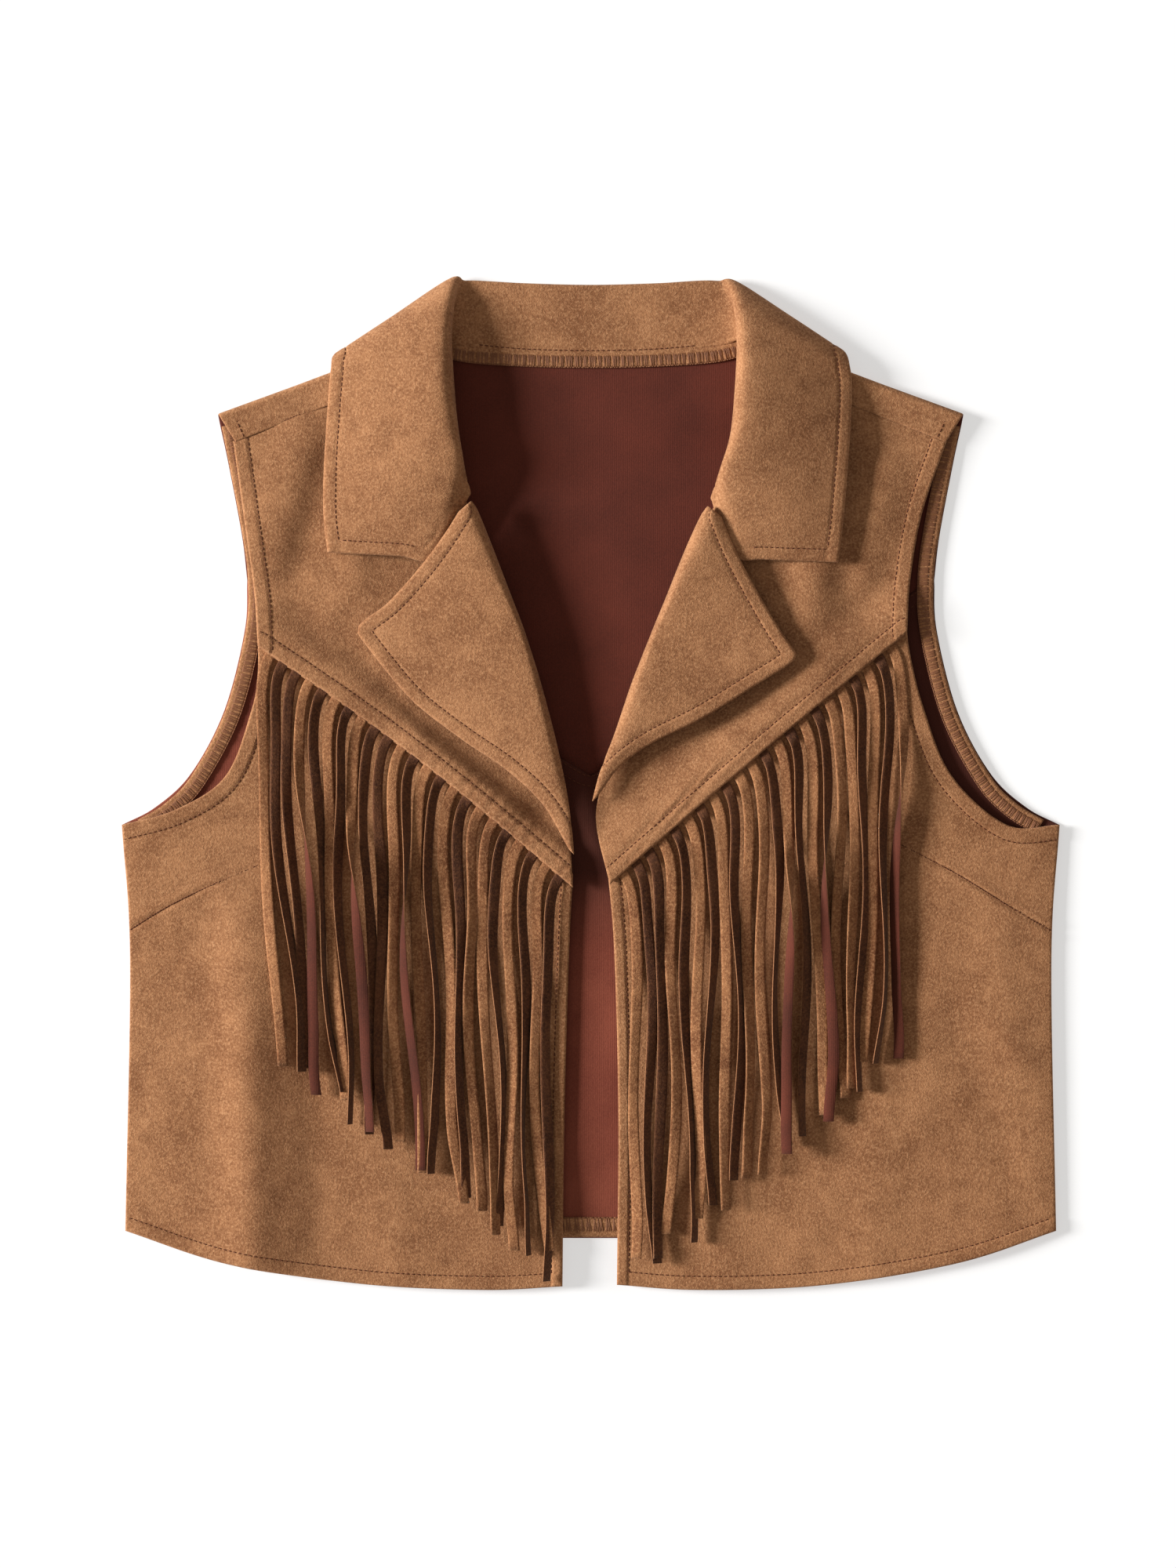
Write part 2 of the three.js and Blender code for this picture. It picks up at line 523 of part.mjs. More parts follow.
// Turned-in edges of the back, which show inside the neck, the armholes and the hem

/** A narrow turned edge that runs along a curve and lies on the back at its inner side. */
function turnedEdge(name, curve, width, steps) {
  const inner = (t) => {
    const step = 1e-3;
    const along = curve(Math.min(t + step, 1)).sub(curve(Math.max(t - step, 0))).normalize();
    return curve(t).add(new THREE.Vector3(-along.y, along.x, 0).multiplyScalar(width));
  };
  const sheet = (u, v) => {
    const place = mix(curve(u), inner(u), v);
    place.z = CLOTH + GAP + fallLift(place.x, place.y) + TURNED / 2;
    return place;
  };
  return piece(name, wall(sheet, steps, 2, TURNED));
}

function turnedEdges() {
  const inset = 0.5;
  const hem = through([[-210, HEM_SIDE.y - 0.4], [0, BACK_HEM_Y + inset], [210, HEM_SIDE.y - 0.4]]);
  const armhole = (sign) => through([
    [sign * 217, -10],
    [sign * 203.4, 4.4],
    [sign * 186.4, 37],
    [sign * 176, 78],
    [sign * 174.8, 104],
    [sign * 177.6, 127],
    [sign * 184, 161],
    [sign * 188.2, 182],
  ]);
  const neck = through([[66, 221], [36, 219], [0, 218], [-36, 219], [-66, 221]]);
  return [
    turnedEdge('turned_hem_back', hem, 10, 12),
    turnedEdge('turned_armhole_left', reversed(armhole(-1)), 8, 20),
    turnedEdge('turned_armhole_right', armhole(1), 8, 20),
    turnedEdge('turned_neck_edge', neck, 7, 12),
  ];
}

// The fringe

/** The middle of a strand and the direction across it, at a distance from its root. It leans on the
 * next strand towards -X, so that the edge on that side is the higher one. */
function strandAt(side, index, distance) {
  const strand = STRANDS[side][index];
  const inner = side === 'left' ? 1 : -1;                  // towards the front edge
  const { armX, edgeX } = FRONT_SEAM[side];
  const count = STRANDS[side].length;
  const rootX = THREE.MathUtils.lerp(armX + inner * 5, edgeX - inner * 6.5, index / (count - 1));
  const slope = (frontSeamY(side, rootX + 1) - frontSeamY(side, rootX - 1)) / 2;
  const square = new THREE.Vector2(slope, -1).normalize();  // down from the seam, square to it

  const run = Math.max(distance, 0) / STRAND.length;
  const bent = STRAND.bend * (1 - Math.exp(-Math.max(distance, 0) / STRAND.bend));
  const sway = 1.1 * Math.sin(2 * Math.PI * (1.3 * run + index * 0.19)) * smooth(run * 3);
  const x = rootX + square.x * (bent + Math.min(distance, 0)) + strand.lean * run ** 1.6 + sway;
  const y = frontSeamY(side, rootX) - Math.max(distance, 0) + (1 + square.y) * bent
    + square.y * Math.min(distance, 0);

  const emerged = smooth(distance / 9);
  const turned = smooth((run - 0.14) / 0.45);
  const lifted = smooth((run - 0.22) / 0.2);
  const tilt = STRAND.tilt * emerged + (strand.turn - STRAND.tilt) * turned;
  const angle = THREE.MathUtils.degToRad(tilt);
  const panelTop = frontUnderside(x, y) + CLOTH;
  const resting = (STRAND.width / 2) * Math.abs(Math.sin(angle)) + STRAND.thickness / 2;
  const z = panelTop + GAP + resting + 0.45 + strand.lift * lifted;

  const ahead = Math.atan2(square.x, -square.y) * Math.exp(-Math.max(distance, 0) / STRAND.bend);
  const level = new THREE.Vector3(Math.cos(ahead), Math.sin(ahead), 0);
  const across = level.multiplyScalar(Math.cos(angle)).setZ(-Math.sin(angle));
  const down = new THREE.Vector3(Math.sin(ahead), -Math.cos(ahead), 0);
  return { middle: new THREE.Vector3(x, y, z), across, down };
}

/** One strand: a ribbon of four sides that turns about its own length. */
function strandGeometry(side, index) {
  const corners = [[-0.5, -0.5], [0.5, -0.5], [0.5, 0.5], [-0.5, 0.5]];
  const places = [];
  for (const distance of STRAND_STATIONS) {
    const { middle, across, down } = strandAt(side, index, distance);
    const face = down.clone().cross(across).normalize();
    for (const [a, b] of corners) {
      const corner = middle.clone();
      corner.addScaledVector(across, a * STRAND.width).addScaledVector(face, b * STRAND.thickness);
      places.push(...corner.toArray());
    }
  }
  const last = (STRAND_STATIONS.length - 1) * corners.length;
  const triangles = [0, 2, 1, 0, 3, 2];
  for (let first = 0; first < last; first += corners.length) {
    triangles.push(...STRAND_SIDES.flat().map((corner) => corner + first));
  }
  triangles.push(last, last + 1, last + 2, last, last + 2, last + 3);
  const geometry = new THREE.BufferGeometry();
  geometry.setAttribute('position', new THREE.Float32BufferAttribute(places, 3));
  geometry.setIndex(triangles);
  return geometry;
}

/** The narrow strip that the strands are cut from. It is sewn in under the yoke's edge. */
function stripGeometry(side) {
  const low = frontSeam(side, -STRIP.below);
  const high = frontSeam(side, STRIP.above);
  const trim = 0.015;
  const sheet = (u, v) => {
    const t = trim + (1 - 2 * trim) * u;
    const place = mix(low(t), high(t), v);
    place.z = frontUnderside(place.x, place.y) + CLOTH + GAP + STRIP.thickness / 2;
    return place;
  };
  return wall(sheet, 16, 1, STRIP.thickness);
}

function solid(geometry) {
  return new wasm.Manifold(new wasm.Mesh({
    numProp: 3,
    vertProperties: geometry.attributes.position.array,
    triVerts: new Uint32Array(geometry.index.array),
  }));
}

function fringe(side) {
  let joinedSolid = solid(stripGeometry(side));
  STRANDS[side].forEach((_, index) => {
    joinedSolid = joinedSolid.add(solid(strandGeometry(side, index)));
  });
  const mesh = joinedSolid.getMesh();
  const geometry = new THREE.BufferGeometry();
  geometry.setAttribute('position', new THREE.BufferAttribute(mesh.vertProperties, 3));
  geometry.setIndex(new THREE.BufferAttribute(mesh.triVerts, 1));
  return piece(`fringe_${side}`, geometry);
}

const vest = new THREE.Group();
vest.add(backPanel(), backYoke(), collar(), ...turnedEdges());
for (const side of ['left', 'right']) {
  vest.add(frontPanel(side), frontYoke(side), lapel(side), fringe(side));
}

export default vest;
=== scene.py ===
"""A fringe vest of imitation suede, laid on its back and seen from straight above.

The cloth is worked out in millimetres, with X across the vest, Y from the hem up to the collar and Z
up from the table, and is turned into metres as each piece is made. "Left" is the side at -X.
"""
import math

import bpy
import numpy as np
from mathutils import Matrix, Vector


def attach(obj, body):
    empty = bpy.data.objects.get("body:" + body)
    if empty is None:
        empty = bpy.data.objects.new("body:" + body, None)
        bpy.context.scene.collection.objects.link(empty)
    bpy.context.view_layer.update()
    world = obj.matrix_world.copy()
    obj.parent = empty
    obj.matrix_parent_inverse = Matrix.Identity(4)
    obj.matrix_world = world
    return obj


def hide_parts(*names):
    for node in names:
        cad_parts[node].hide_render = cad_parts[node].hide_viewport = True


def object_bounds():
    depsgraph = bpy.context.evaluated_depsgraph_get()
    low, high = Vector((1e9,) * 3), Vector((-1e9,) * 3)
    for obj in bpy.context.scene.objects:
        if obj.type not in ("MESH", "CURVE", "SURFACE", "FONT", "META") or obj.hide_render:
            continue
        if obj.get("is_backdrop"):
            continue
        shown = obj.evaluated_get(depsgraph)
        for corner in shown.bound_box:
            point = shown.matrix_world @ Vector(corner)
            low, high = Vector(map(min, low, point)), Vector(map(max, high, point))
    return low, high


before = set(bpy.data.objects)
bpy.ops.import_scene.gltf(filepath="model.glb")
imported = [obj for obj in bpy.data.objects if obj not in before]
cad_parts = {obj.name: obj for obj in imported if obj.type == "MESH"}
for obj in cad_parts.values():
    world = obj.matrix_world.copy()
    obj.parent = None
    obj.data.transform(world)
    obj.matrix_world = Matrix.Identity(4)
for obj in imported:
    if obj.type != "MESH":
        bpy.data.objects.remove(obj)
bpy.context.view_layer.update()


# The camera hangs straight above the vest. The picture covers 600 by 800 mm of the table, and its
# middle is a little to the left of the vest's own.
picture_height = 0.8
lens = 130
camera_data = bpy.data.cameras.new("overhead_camera")
camera_data.lens = lens
camera_data.sensor_width = 36
camera_data.clip_end = 20
camera = bpy.data.objects.new("overhead_camera", camera_data)
camera.location = (-0.0014, -0.0002, picture_height * lens / camera_data.sensor_width)
bpy.context.scene.collection.objects.link(camera)
bpy.context.scene.camera = camera
bpy.context.scene.view_settings.view_transform = "Standard"


# A white light table and a studio lamp. The lamp stands low at the left, so that each raised
# edge and fold throws a long soft shadow, and the white room fills the shadows in.
table_height = -0.0004
table_corners = [(x, y, table_height) for x, y in ((-4, -4), (4, -4), (4, 4), (-4, 4))]
table_mesh = bpy.data.meshes.new("table")
table_mesh.from_pydata(table_corners, [], [(0, 1, 2, 3)])
table = bpy.data.objects.new("table", table_mesh)
table_finish = bpy.data.materials.new("table_white")
table_finish.use_nodes = True
table_surface = table_finish.node_tree.nodes["Principled BSDF"]
table_surface.inputs["Base Color"].default_value = (0.5, 0.5, 0.5, 1)
table_surface.inputs["Roughness"].default_value = 0.9
table_surface.inputs["Emission Color"].default_value = (1, 1, 1, 1)
table_surface.inputs["Emission Strength"].default_value = 0.52
table_mesh.materials.append(table_finish)
bpy.context.scene.collection.objects.link(table)
table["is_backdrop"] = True

lamp_data = bpy.data.lights.new("low_lamp", "AREA")
lamp_data.size = 3.0
lamp_data.energy = 3020
towards_lamp = Vector((-0.96, 0.10, 0.36)).normalized()
lamp = bpy.data.objects.new("low_lamp", lamp_data)
lamp.location = towards_lamp * 12.0
lamp.rotation_euler = towards_lamp.to_track_quat("Z", "Y").to_euler()
bpy.context.scene.collection.objects.link(lamp)

room = bpy.data.worlds.new("room")
room.use_nodes = True
room.node_tree.nodes["Background"].inputs["Color"].default_value = (1, 0.93, 0.86, 1)
room.node_tree.nodes["Background"].inputs["Strength"].default_value = 0.31
bpy.context.scene.world = room


# The cloth of the whole vest is one imitation suede. Its face is tan and brushed, so that the nap
# lies in soft patches, and its knitted back is red-brown with fine upright ribs.
class Socket:
    """A shader node's output, on which + and * add Math nodes."""

    def __init__(self, finish, socket):
        self.finish = finish
        self.socket = socket

    def maths(self, operation, first, second):
        return self.finish.node("ShaderNodeMath", {"operation": operation}, {0: first, 1: second})

    def __add__(self, other):
        return self.maths("ADD", self, other)

    def __mul__(self, other):
        return self.maths("MULTIPLY", self, other)


class Finish:
    """A material, whose nodes are added by `node`."""

    def __init__(self, name, roughness, sheen=0.0):
        self.material = bpy.data.materials.new(name)
        self.material.use_nodes = True
        self.surface = self.material.node_tree.nodes["Principled BSDF"]
        self.surface.inputs["Roughness"].default_value = roughness
        self.surface.inputs["Specular IOR Level"].default_value = 0.2
        self.surface.inputs["Sheen Weight"].default_value = sheen
        self.surface.inputs["Sheen Roughness"].default_value = 0.6
        self.surface.inputs["Sheen Tint"].default_value = (1.0, 0.82, 0.62, 1)

    def node(self, kind, settings=(), inputs=(), output=0):
        """Adds a node: its settings first, then the values or links of its sockets."""
        made = self.material.node_tree.nodes.new(kind)
        for name, value in dict(settings).items():
            setattr(made, name, value)
        for name, value in dict(inputs).items():
            self.feed(made.inputs[name], value)
        return Socket(self, made.outputs[output])

    def feed(self, socket, value):
        if isinstance(value, Socket):
            self.material.node_tree.links.new(value.socket, socket)
        else:
            socket.default_value = value

    def noise(self, per_metre, detail, where, roughness=0.55, distortion=0.0):
        """Uneven patches, `per_metre` of them in a metre, as a number about 0.5."""
        inputs = {"Vector": where, "Scale": per_metre, "Detail": detail, "Roughness": roughness,
                  "Distortion": distortion}
        return self.node("ShaderNodeTexNoise", {}, inputs)

    def between(self, share, low, high):
        """The colour that lies `share` of the way from `low` to `high`."""
        return self.node("ShaderNodeMix", {"data_type": "RGBA"}, {0: share, 6: low, 7: high}, output=2)

    def stretched(self, value, low, high):
        """`value` spread out, so that `low` becomes 0 and `high` becomes 1."""
        inputs = {0: value, 1: low, 2: high, 3: 0.0, 4: 1.0}
        return self.node("ShaderNodeMapRange", {"clamp": True}, inputs)

    def raised(self, height, distance, strength):
        """Feeds a bump of `height`, `distance` metres high, to the surface."""
        inputs = {"Height": height, "Distance": distance, "Strength": strength}
        bump = self.node("ShaderNodeBump", {}, inputs)
        self.feed(self.surface.inputs["Normal"], bump)

    def place(self):
        """Where a point is on the vest, in metres."""
        return self.node("ShaderNodeTexCoord", output=3)


def colour(red, green, blue):
    """A colour as a paint program shows it, in the numbers that Blender wants."""
    channels = [channel / 255 for channel in (red, green, blue)]
    return (*[((c + 0.055) / 1.055) ** 2.4 if c > 0.04 else c / 12.92 for c in channels], 1)


def brushed_suede(name, dark, light, pale):
    """Imitation suede: `dark` and `light` where the nap lies down or stands up, `pale` on its tips."""
    finish = Finish(name, roughness=0.92, sheen=0.12)
    where = finish.place()
    brushed = finish.noise(24, 3, where, roughness=0.6, distortion=0.6)
    clouds = finish.noise(110, 4, where, roughness=0.65, distortion=0.3)
    nap = finish.noise(820, 3, where, roughness=0.7)
    grain = finish.noise(1700, 2, where, roughness=0.6)
    lying = finish.stretched(brushed * 0.32 + clouds * 0.24 + nap * 0.44, 0.405, 0.595)
    face = finish.between(lying, dark, light)
    tips = finish.stretched(nap * 0.55 + grain * 0.45, 0.50, 0.72)
    finish.feed(finish.surface.inputs["Base Color"], finish.between(tips * 0.62, face, pale))
    finish.raised(nap * 0.6 + grain * 0.4 + clouds * 0.2, 0.0008, 0.75)
    return finish.material


suede = brushed_suede("suede_face", colour(128, 82, 50), colour(174, 122, 82), colour(208, 160, 118))


def knitted_reverse(name, dark, light, groove, painted_shade_colour=None):
    """The cloth's back: fuzzy ribs that run up and down, `groove` between them. Where a darker colour
    is given, it is painted shade: it comes in from 85 mm below the vest's middle up, and fades out
    towards the left armhole."""
    finish = Finish(name, roughness=0.88, sheen=0.06)
    where = finish.place()
    settings = {"wave_type": "BANDS", "bands_direction": "X", "wave_profile": "SIN"}
    inputs = {"Vector": where, "Scale": 330.0, "Distortion": 1.5, "Detail": 2.0, "Detail Scale": 2.0}
    ribs = finish.node("ShaderNodeTexWave", settings, inputs, output=1)
    fuzz = finish.noise(1300, 3, where, roughness=0.7)
    washed = finish.noise(16, 3, where)
    shade = finish.stretched(washed * 0.6 + fuzz * 0.4, 0.38, 0.62)
    knitted = finish.between(shade, dark, light)
    knitted = finish.between(ribs * fuzz * 0.22, knitted, groove)
    if painted_shade_colour:
        across, up = (finish.node("ShaderNodeSeparateXYZ", {}, {0: where}, output=k) for k in (0, 1))
        # Painted shade: the inside is made darker from 85 mm below the vest's middle up, away from the left
        # armhole
        painted_shade_mask = finish.stretched(up, -0.085, -0.045) * finish.stretched(across, -0.15, -0.05)
        knitted = finish.between(painted_shade_mask * 0.85, knitted, painted_shade_colour)
    finish.feed(finish.surface.inputs["Base Color"], knitted)
    finish.raised(ribs * 0.25 + fuzz * 0.75, 0.0003, 0.5)
    return finish.material


reverse = knitted_reverse("suede_reverse", colour(112, 52, 38), colour(142, 74, 55), colour(92, 41, 30))


# The lower back is one piece, cut with a point at the middle of its seam with the back yoke. Only
# its red-brown inside shows, between the fronts and in the armholes, with two rows of stitches
# along the seam.
cloth_thickness = 1.2
half_chest = 239.0
underarm_y = -21.0
hem_side = (237.2, -228.0)
waist_x = half_chest - 4.2
back_seam_end = (175.2, 104)
back_seam_middle_y = 4
back_seam_stitches = (6.5, 1.6)
# Its inside has painted shade in its upper middle, between the fronts below the neck
back_reverse = knitted_reverse("suede_reverse_of_back", colour(112, 52, 38), colour(142, 74, 55),
                               colour(92, 41, 30), painted_shade_colour=colour(56, 22, 15))


def smooth(t):
    """0 below 0, 1 above 1 and a soft step between."""
    t = np.clip(t, 0, 1)
    return t * t * (3 - 2 * t)


def through(points):
    """A smooth curve through points, as a function of 0 to 1."""
    points = np.array(points, float)
    framed = np.concatenate([[2 * points[0] - points[1]], points, [2 * points[-1] - points[-2]]])

    def curve(t):
        t = np.clip(np.asarray(t, float), 0, 1) * (len(points) - 1)
        before = np.minimum(t.astype(int), len(points) - 2)
        w = (t - before).reshape(t.shape + (1,) * (points.ndim - 1))
        a, b, c, d = (framed[before + k] for k in range(4))
        leave, arrive = (c - a) / 2, (d - b) / 2
        return ((2 * w ** 3 - 3 * w ** 2 + 1) * b + (w ** 3 - 2 * w ** 2 + w) * leave
                + (3 * w ** 2 - 2 * w ** 3) * c + (w ** 3 - w ** 2) * arrive)

    return curve


def on_side(sign, points):
    """A smooth curve through points, or through their mirror images where `sign` is -1."""
    return through([(sign * x, y) for x, y in points])


def backwards(curve):
    """The same curve from its end to its start."""
    return lambda t: curve(1 - np.asarray(t, float))


def joined(*pieces):
    """Curves end to end, each with its share of 0 to 1, so that the corner between them is sharp."""
    def curve(t):
        t = np.asarray(t, float)
        start = 0
        whole = None
        for piece, share in pieces:
            here = piece(np.clip((t - start) / share, 0, 1))
            whole = here if whole is None else np.where((t > start)[..., None], here, whole)
            start += share
        return whole

    return curve


def patch(bottom, top, left, right):
    """The piece of a plane between four edges that meet at its corners, as a grid of points."""
    def plan(u, v):
        share_u, share_v = u[:, None, None], v[None, :, None]
        across = bottom(u)[:, None] * (1 - share_v) + top(u)[:, None] * share_v
        along = left(v)[None] * (1 - share_u) + right(v)[None] * share_u
        low = bottom(0.0) * (1 - share_u) + bottom(1.0) * share_u
        high = top(0.0) * (1 - share_u) + top(1.0) * share_u
        return across + along - low * (1 - share_v) - high * share_v

    return plan


def threads_across(length, spacing, corners=(), fine=True):
    """Where a grid's lines cross a piece of this length, from 0 to 1, closer together at its edges."""
    edge = [0, 0.25, 0.6, 1.1, 1.8, 2.8, 3.8, 4.6, 5.2, 5.7, 6.2, 6.7, 7.2, 7.7, 8.3, 9, 10]
    near = np.array(edge if fine else [0, 0.3, 0.9, 2]) / length
    middle = np.linspace(near[-1], 1 - near[-1], max(int(length / spacing), 2))
    return np.unique(np.round(np.concatenate([near, middle, 1 - near, corners]), 6))


def at_height(flat, height):
    """Points of a plane, each lifted to its height."""
    height = np.broadcast_to(height, flat.shape[:-1])
    return np.concatenate([flat, height[..., None]], axis=-1)


def square_to(middle):
    """The direction square to a grid of points, at each point."""
    normal = np.cross(np.gradient(middle, axis=0), np.gradient(middle, axis=1))
    return normal / np.maximum(np.linalg.norm(normal, axis=2, keepdims=True), 1e-9)


def distance_to(points, line):
    """How far each point is from a line of points."""
    nearest = np.full(points.shape[:-1], 1e9)
    for start, end in zip(line[:-1], line[1:]):
        along = end - start
        share = np.clip(((points - start) @ along) / max(along @ along, 1e-9), 0, 1)
        nearest = np.minimum(nearest, np.linalg.norm(points - start - share[..., None] * along, axis=-1))
    return nearest


def turned_edge(distance, inset, puff=0.45, groove=0.45):
    """The relief of an edge that is turned in and stitched down `inset` from its fold."""
    padded = puff * (1 - smooth((distance - inset + 0.4) / 1.6))
    return padded - groove * np.exp(-(((distance - inset) / 0.75) ** 2))


def mesh_piece(name, places, faces, finishes, finish_of_face):
    """A piece of the vest from places in millimetres, with a finish for each face."""
    mesh = bpy.data.meshes.new(name)
    mesh.from_pydata((np.asarray(places) * 0.001).tolist(), [], faces)
    for material in finishes:
        mesh.materials.append(material)
    mesh.polygons.foreach_set("material_index", finish_of_face)
    mesh.polygons.foreach_set("use_smooth", [True] * len(mesh.polygons))
    mesh.update()
    made = bpy.data.objects.new(name, mesh)
    bpy.context.scene.collection.objects.link(made)
    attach(made, "root")
    return made


def cloth(name, middle, relief, thickness, upper_finish, lower_finish, rounding=1.1):
    """A closed shell about a grid of points. `relief` is added to its upper side, and its thickness
    falls off at the edges, which are folds. Returns it with the grid of its upper side."""
    columns, rows = middle.shape[:2]
    normal = square_to(middle)
    border = np.concatenate([middle[:, 0], middle[-1, 1:], middle[-2::-1, -1], middle[0, -2::-1]])
    inward = distance_to(middle, border[::2])
    rounded = np.sqrt(np.clip(1 - (1 - np.clip(inward / rounding, 0, 1)) ** 2, 0.05, 1))[..., None]
    upper = middle + normal * (thickness / 2 + relief[..., None]) * rounded
    lower = middle - normal * (thickness / 2) * rounded
    index = np.arange(columns * rows).reshape(columns, rows)
    quads = np.stack([index[:-1, :-1], index[1:, :-1], index[1:, 1:], index[:-1, 1:]], axis=-1)
    quads = quads.reshape(-1, 4)
    ring = np.concatenate([index[:, 0], index[-1, 1:], index[-2::-1, -1], index[0, -2:0:-1]])
    ahead = np.roll(ring, -1)
    below = columns * rows
    rim = np.stack([ring + below, ahead + below, ahead, ring], axis=-1)
    faces = np.concatenate([quads, quads[:, ::-1] + below, rim]).tolist()
    finish_of_face = [0] * len(quads) + [1] * len(quads) + [0] * len(rim)
    places = np.concatenate([upper.reshape(-1, 3), lower.reshape(-1, 3)])
    return mesh_piece(name, places, faces, [upper_finish, lower_finish], finish_of_face), upper


def inset_line(upper, edge, inset, beside=(), along=(0, 1)):
    """The line on a sheet's upper side that runs `inset` inside one of its four edges. It is kept to
    the share `along` of the edge, and clear of the edges in `beside`, each with its own inset."""
    sides = {"left": upper[0], "right": upper[-1], "bottom": upper[:, 0], "top": upper[:, -1]}
    away = distance_to(upper, sides[edge][::2] if len(sides[edge]) > 60 else sides[edge])
    grid, away = (upper, away) if edge in ("bottom", "top") else (upper.transpose(1, 0, 2), away.T)
    if edge in ("top", "right"):
        grid, away = grid[:, ::-1], away[:, ::-1]
    line = []
    first, last = int(along[0] * (len(grid) - 1)), int(along[1] * (len(grid) - 1))
    for column, distances in zip(grid[first:last + 1], away[first:last + 1]):
        beyond = np.argmax(distances >= inset)
        if beyond == 0:
            continue
        near, far = distances[beyond - 1], distances[beyond]
        share = (inset - near) / max(far - near, 1e-9)
        line.append(column[beyond - 1] * (1 - share) + column[beyond] * share)
    line = np.array(line)
    for other, other_inset in beside:
        line = line[distance_to(line, sides[other]) >= other_inset - 0.3]
    return line


def distance_along(line):
    """How far along a line of points each of them lies."""
    return np.concatenate([[0], np.cumsum(np.linalg.norm(np.diff(line, axis=0), axis=1))])


def points_at(marks, walked, line):
    """The points of a line at the distances `marks` along it, where `walked` is each point's own."""
    return np.stack([np.interp(marks, walked, line[:, k]) for k in range(3)], axis=1)


stitch_starts, stitch_ends = [], []


def stitch(line, pitch=2.7, length=2.05):
    """Marks stitches along a line of points."""
    walked = distance_along(line)
    marks = np.arange(0, walked[-1] - length, pitch)
    stitch_starts.append(points_at(marks, walked, line))
    stitch_ends.append(points_at(marks + length, walked, line))


def side_seam(sign):
    return on_side(sign, [hem_side, (waist_x, -90), (half_chest, underarm_y)])


def back_armhole(sign):
    return on_side(sign, [(half_chest, underarm_y), (222, -12), (204, 5), (187, 37), (176.5, 78),
                          back_seam_end])


def back_seam(up):
    """The back's seam from -X to +X, moved up the vest."""
    x, y = back_seam_end
    left = through([(-x, y + up), (0, back_seam_middle_y + up)])
    right = through([(0, back_seam_middle_y + up), (x, y + up)])
    return joined((left, 0.5), (right, 0.5))


back_hem = through([(-hem_side[0], hem_side[1]), (0, -231.8), hem_side])
back_top = joined((back_armhole(-1), 0.25), (back_seam(0), 0.5), (backwards(back_armhole(1)), 0.25))
back_plan = patch(back_hem, back_top, side_seam(-1), side_seam(1))
flat = back_plan(threads_across(480, 3.2, (0.25, 0.5, 0.75), fine=False), threads_across(300, 2.6))
middle = at_height(flat, cloth_thickness / 2)
seam_line = at_height(back_seam(0)(np.linspace(0, 1, 61)), cloth_thickness / 2)
relief = turned_edge(distance_to(middle, seam_line), back_seam_stitches[0], puff=0.5, groove=0.3)
back_panel, back_upper = cloth("lower_back", middle, relief, cloth_thickness, back_reverse, suede)
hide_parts("back_panel")
for inset in back_seam_stitches:
    stitch(inset_line(back_upper, "top", inset, along=(0.26, 0.74)))


# The back yoke is one piece that goes over both shoulders, so that its far edges lie on the front
# with their tan face up. Inside the neck its red-brown reverse shows, darkened with painted shade.
shoulder_tip = np.array([189.8, 188.6])
shoulder_neck = np.array([78, 229.3])
fold_radius = 2.1
shoulder_seam_drop = 16
# How far the cut goes on past the fold, to the shoulder seam on the front
wrap = shoulder_seam_drop - cloth_thickness / 2 + (math.pi - 2) * fold_radius
wrap_at_tip, wrap_at_neck = wrap + 4.2, wrap - 2.8
seam_overlap = 0.3
# The edge of the collar's fall, which lies under the neck and lifts the yoke
fall_edge_middle, fall_edge_side, fall_edge_x, fall_lift_height = 192.0, 214.0, 128.0, 2.2
# The reverse inside the neck is a darker copy of the reverse: painted shade from the collar and lapels
neck_reverse_with_painted_shade = knitted_reverse("suede_reverse_painted_shade_in_neck", colour(78, 32, 22), colour(102, 45, 32),
                               colour(64, 25, 17))


def fall_lift(x, y):
    """How far the collar's fall lifts the yoke at a place."""
    edge = fall_edge_middle + (fall_edge_side - fall_edge_middle) * (x / fall_edge_x) ** 2
    over = smooth((y - edge + 5) / 30 + 1)
    beside = smooth((fall_edge_x + 5 - np.abs(x)) / 20 + 1)
    return fall_lift_height * over * beside


def yoke_side(sign):
    lowest = (back_seam_end[0], back_seam_end[1] - seam_overlap)
    return on_side(sign, [lowest, (178, 127), (185, 164), (189.8, 186.6), (192.8, 184.6 + wrap_at_tip)])


def yoke_shoulder(sign):
    return on_side(sign, [(192.8, 184.6 + wrap_at_tip), (93, 225.5 + wrap_at_neck)])


def yoke_neck(sign):
    return on_side(sign, [(93, 225.5 + wrap_at_neck), (82, 229.3), (68, 222.4), (36, 220), (0, 219)])


yoke_top = joined((yoke_shoulder(-1), 0.25), (yoke_neck(-1), 0.25), (backwards(yoke_neck(1)), 0.25),
                  (backwards(yoke_shoulder(1)), 0.25))
yoke_plan = patch(back_seam(-seam_overlap), yoke_top, yoke_side(-1), yoke_side(1))
# Rows of the grid from the seam up, closer together towards the fold
fold_rows = np.interp(np.linspace(0, 1, 96), np.linspace(0, 1, 16),
                      [0, 0.2, 0.4, 0.55, 0.66, 0.74, 0.8, 0.84, 0.87, 0.89, 0.91, 0.93, 0.95, 0.97,
                       0.985, 1])
flat = yoke_plan(threads_across(380, 3.0, (0.25, 0.5, 0.75)), fold_rows)


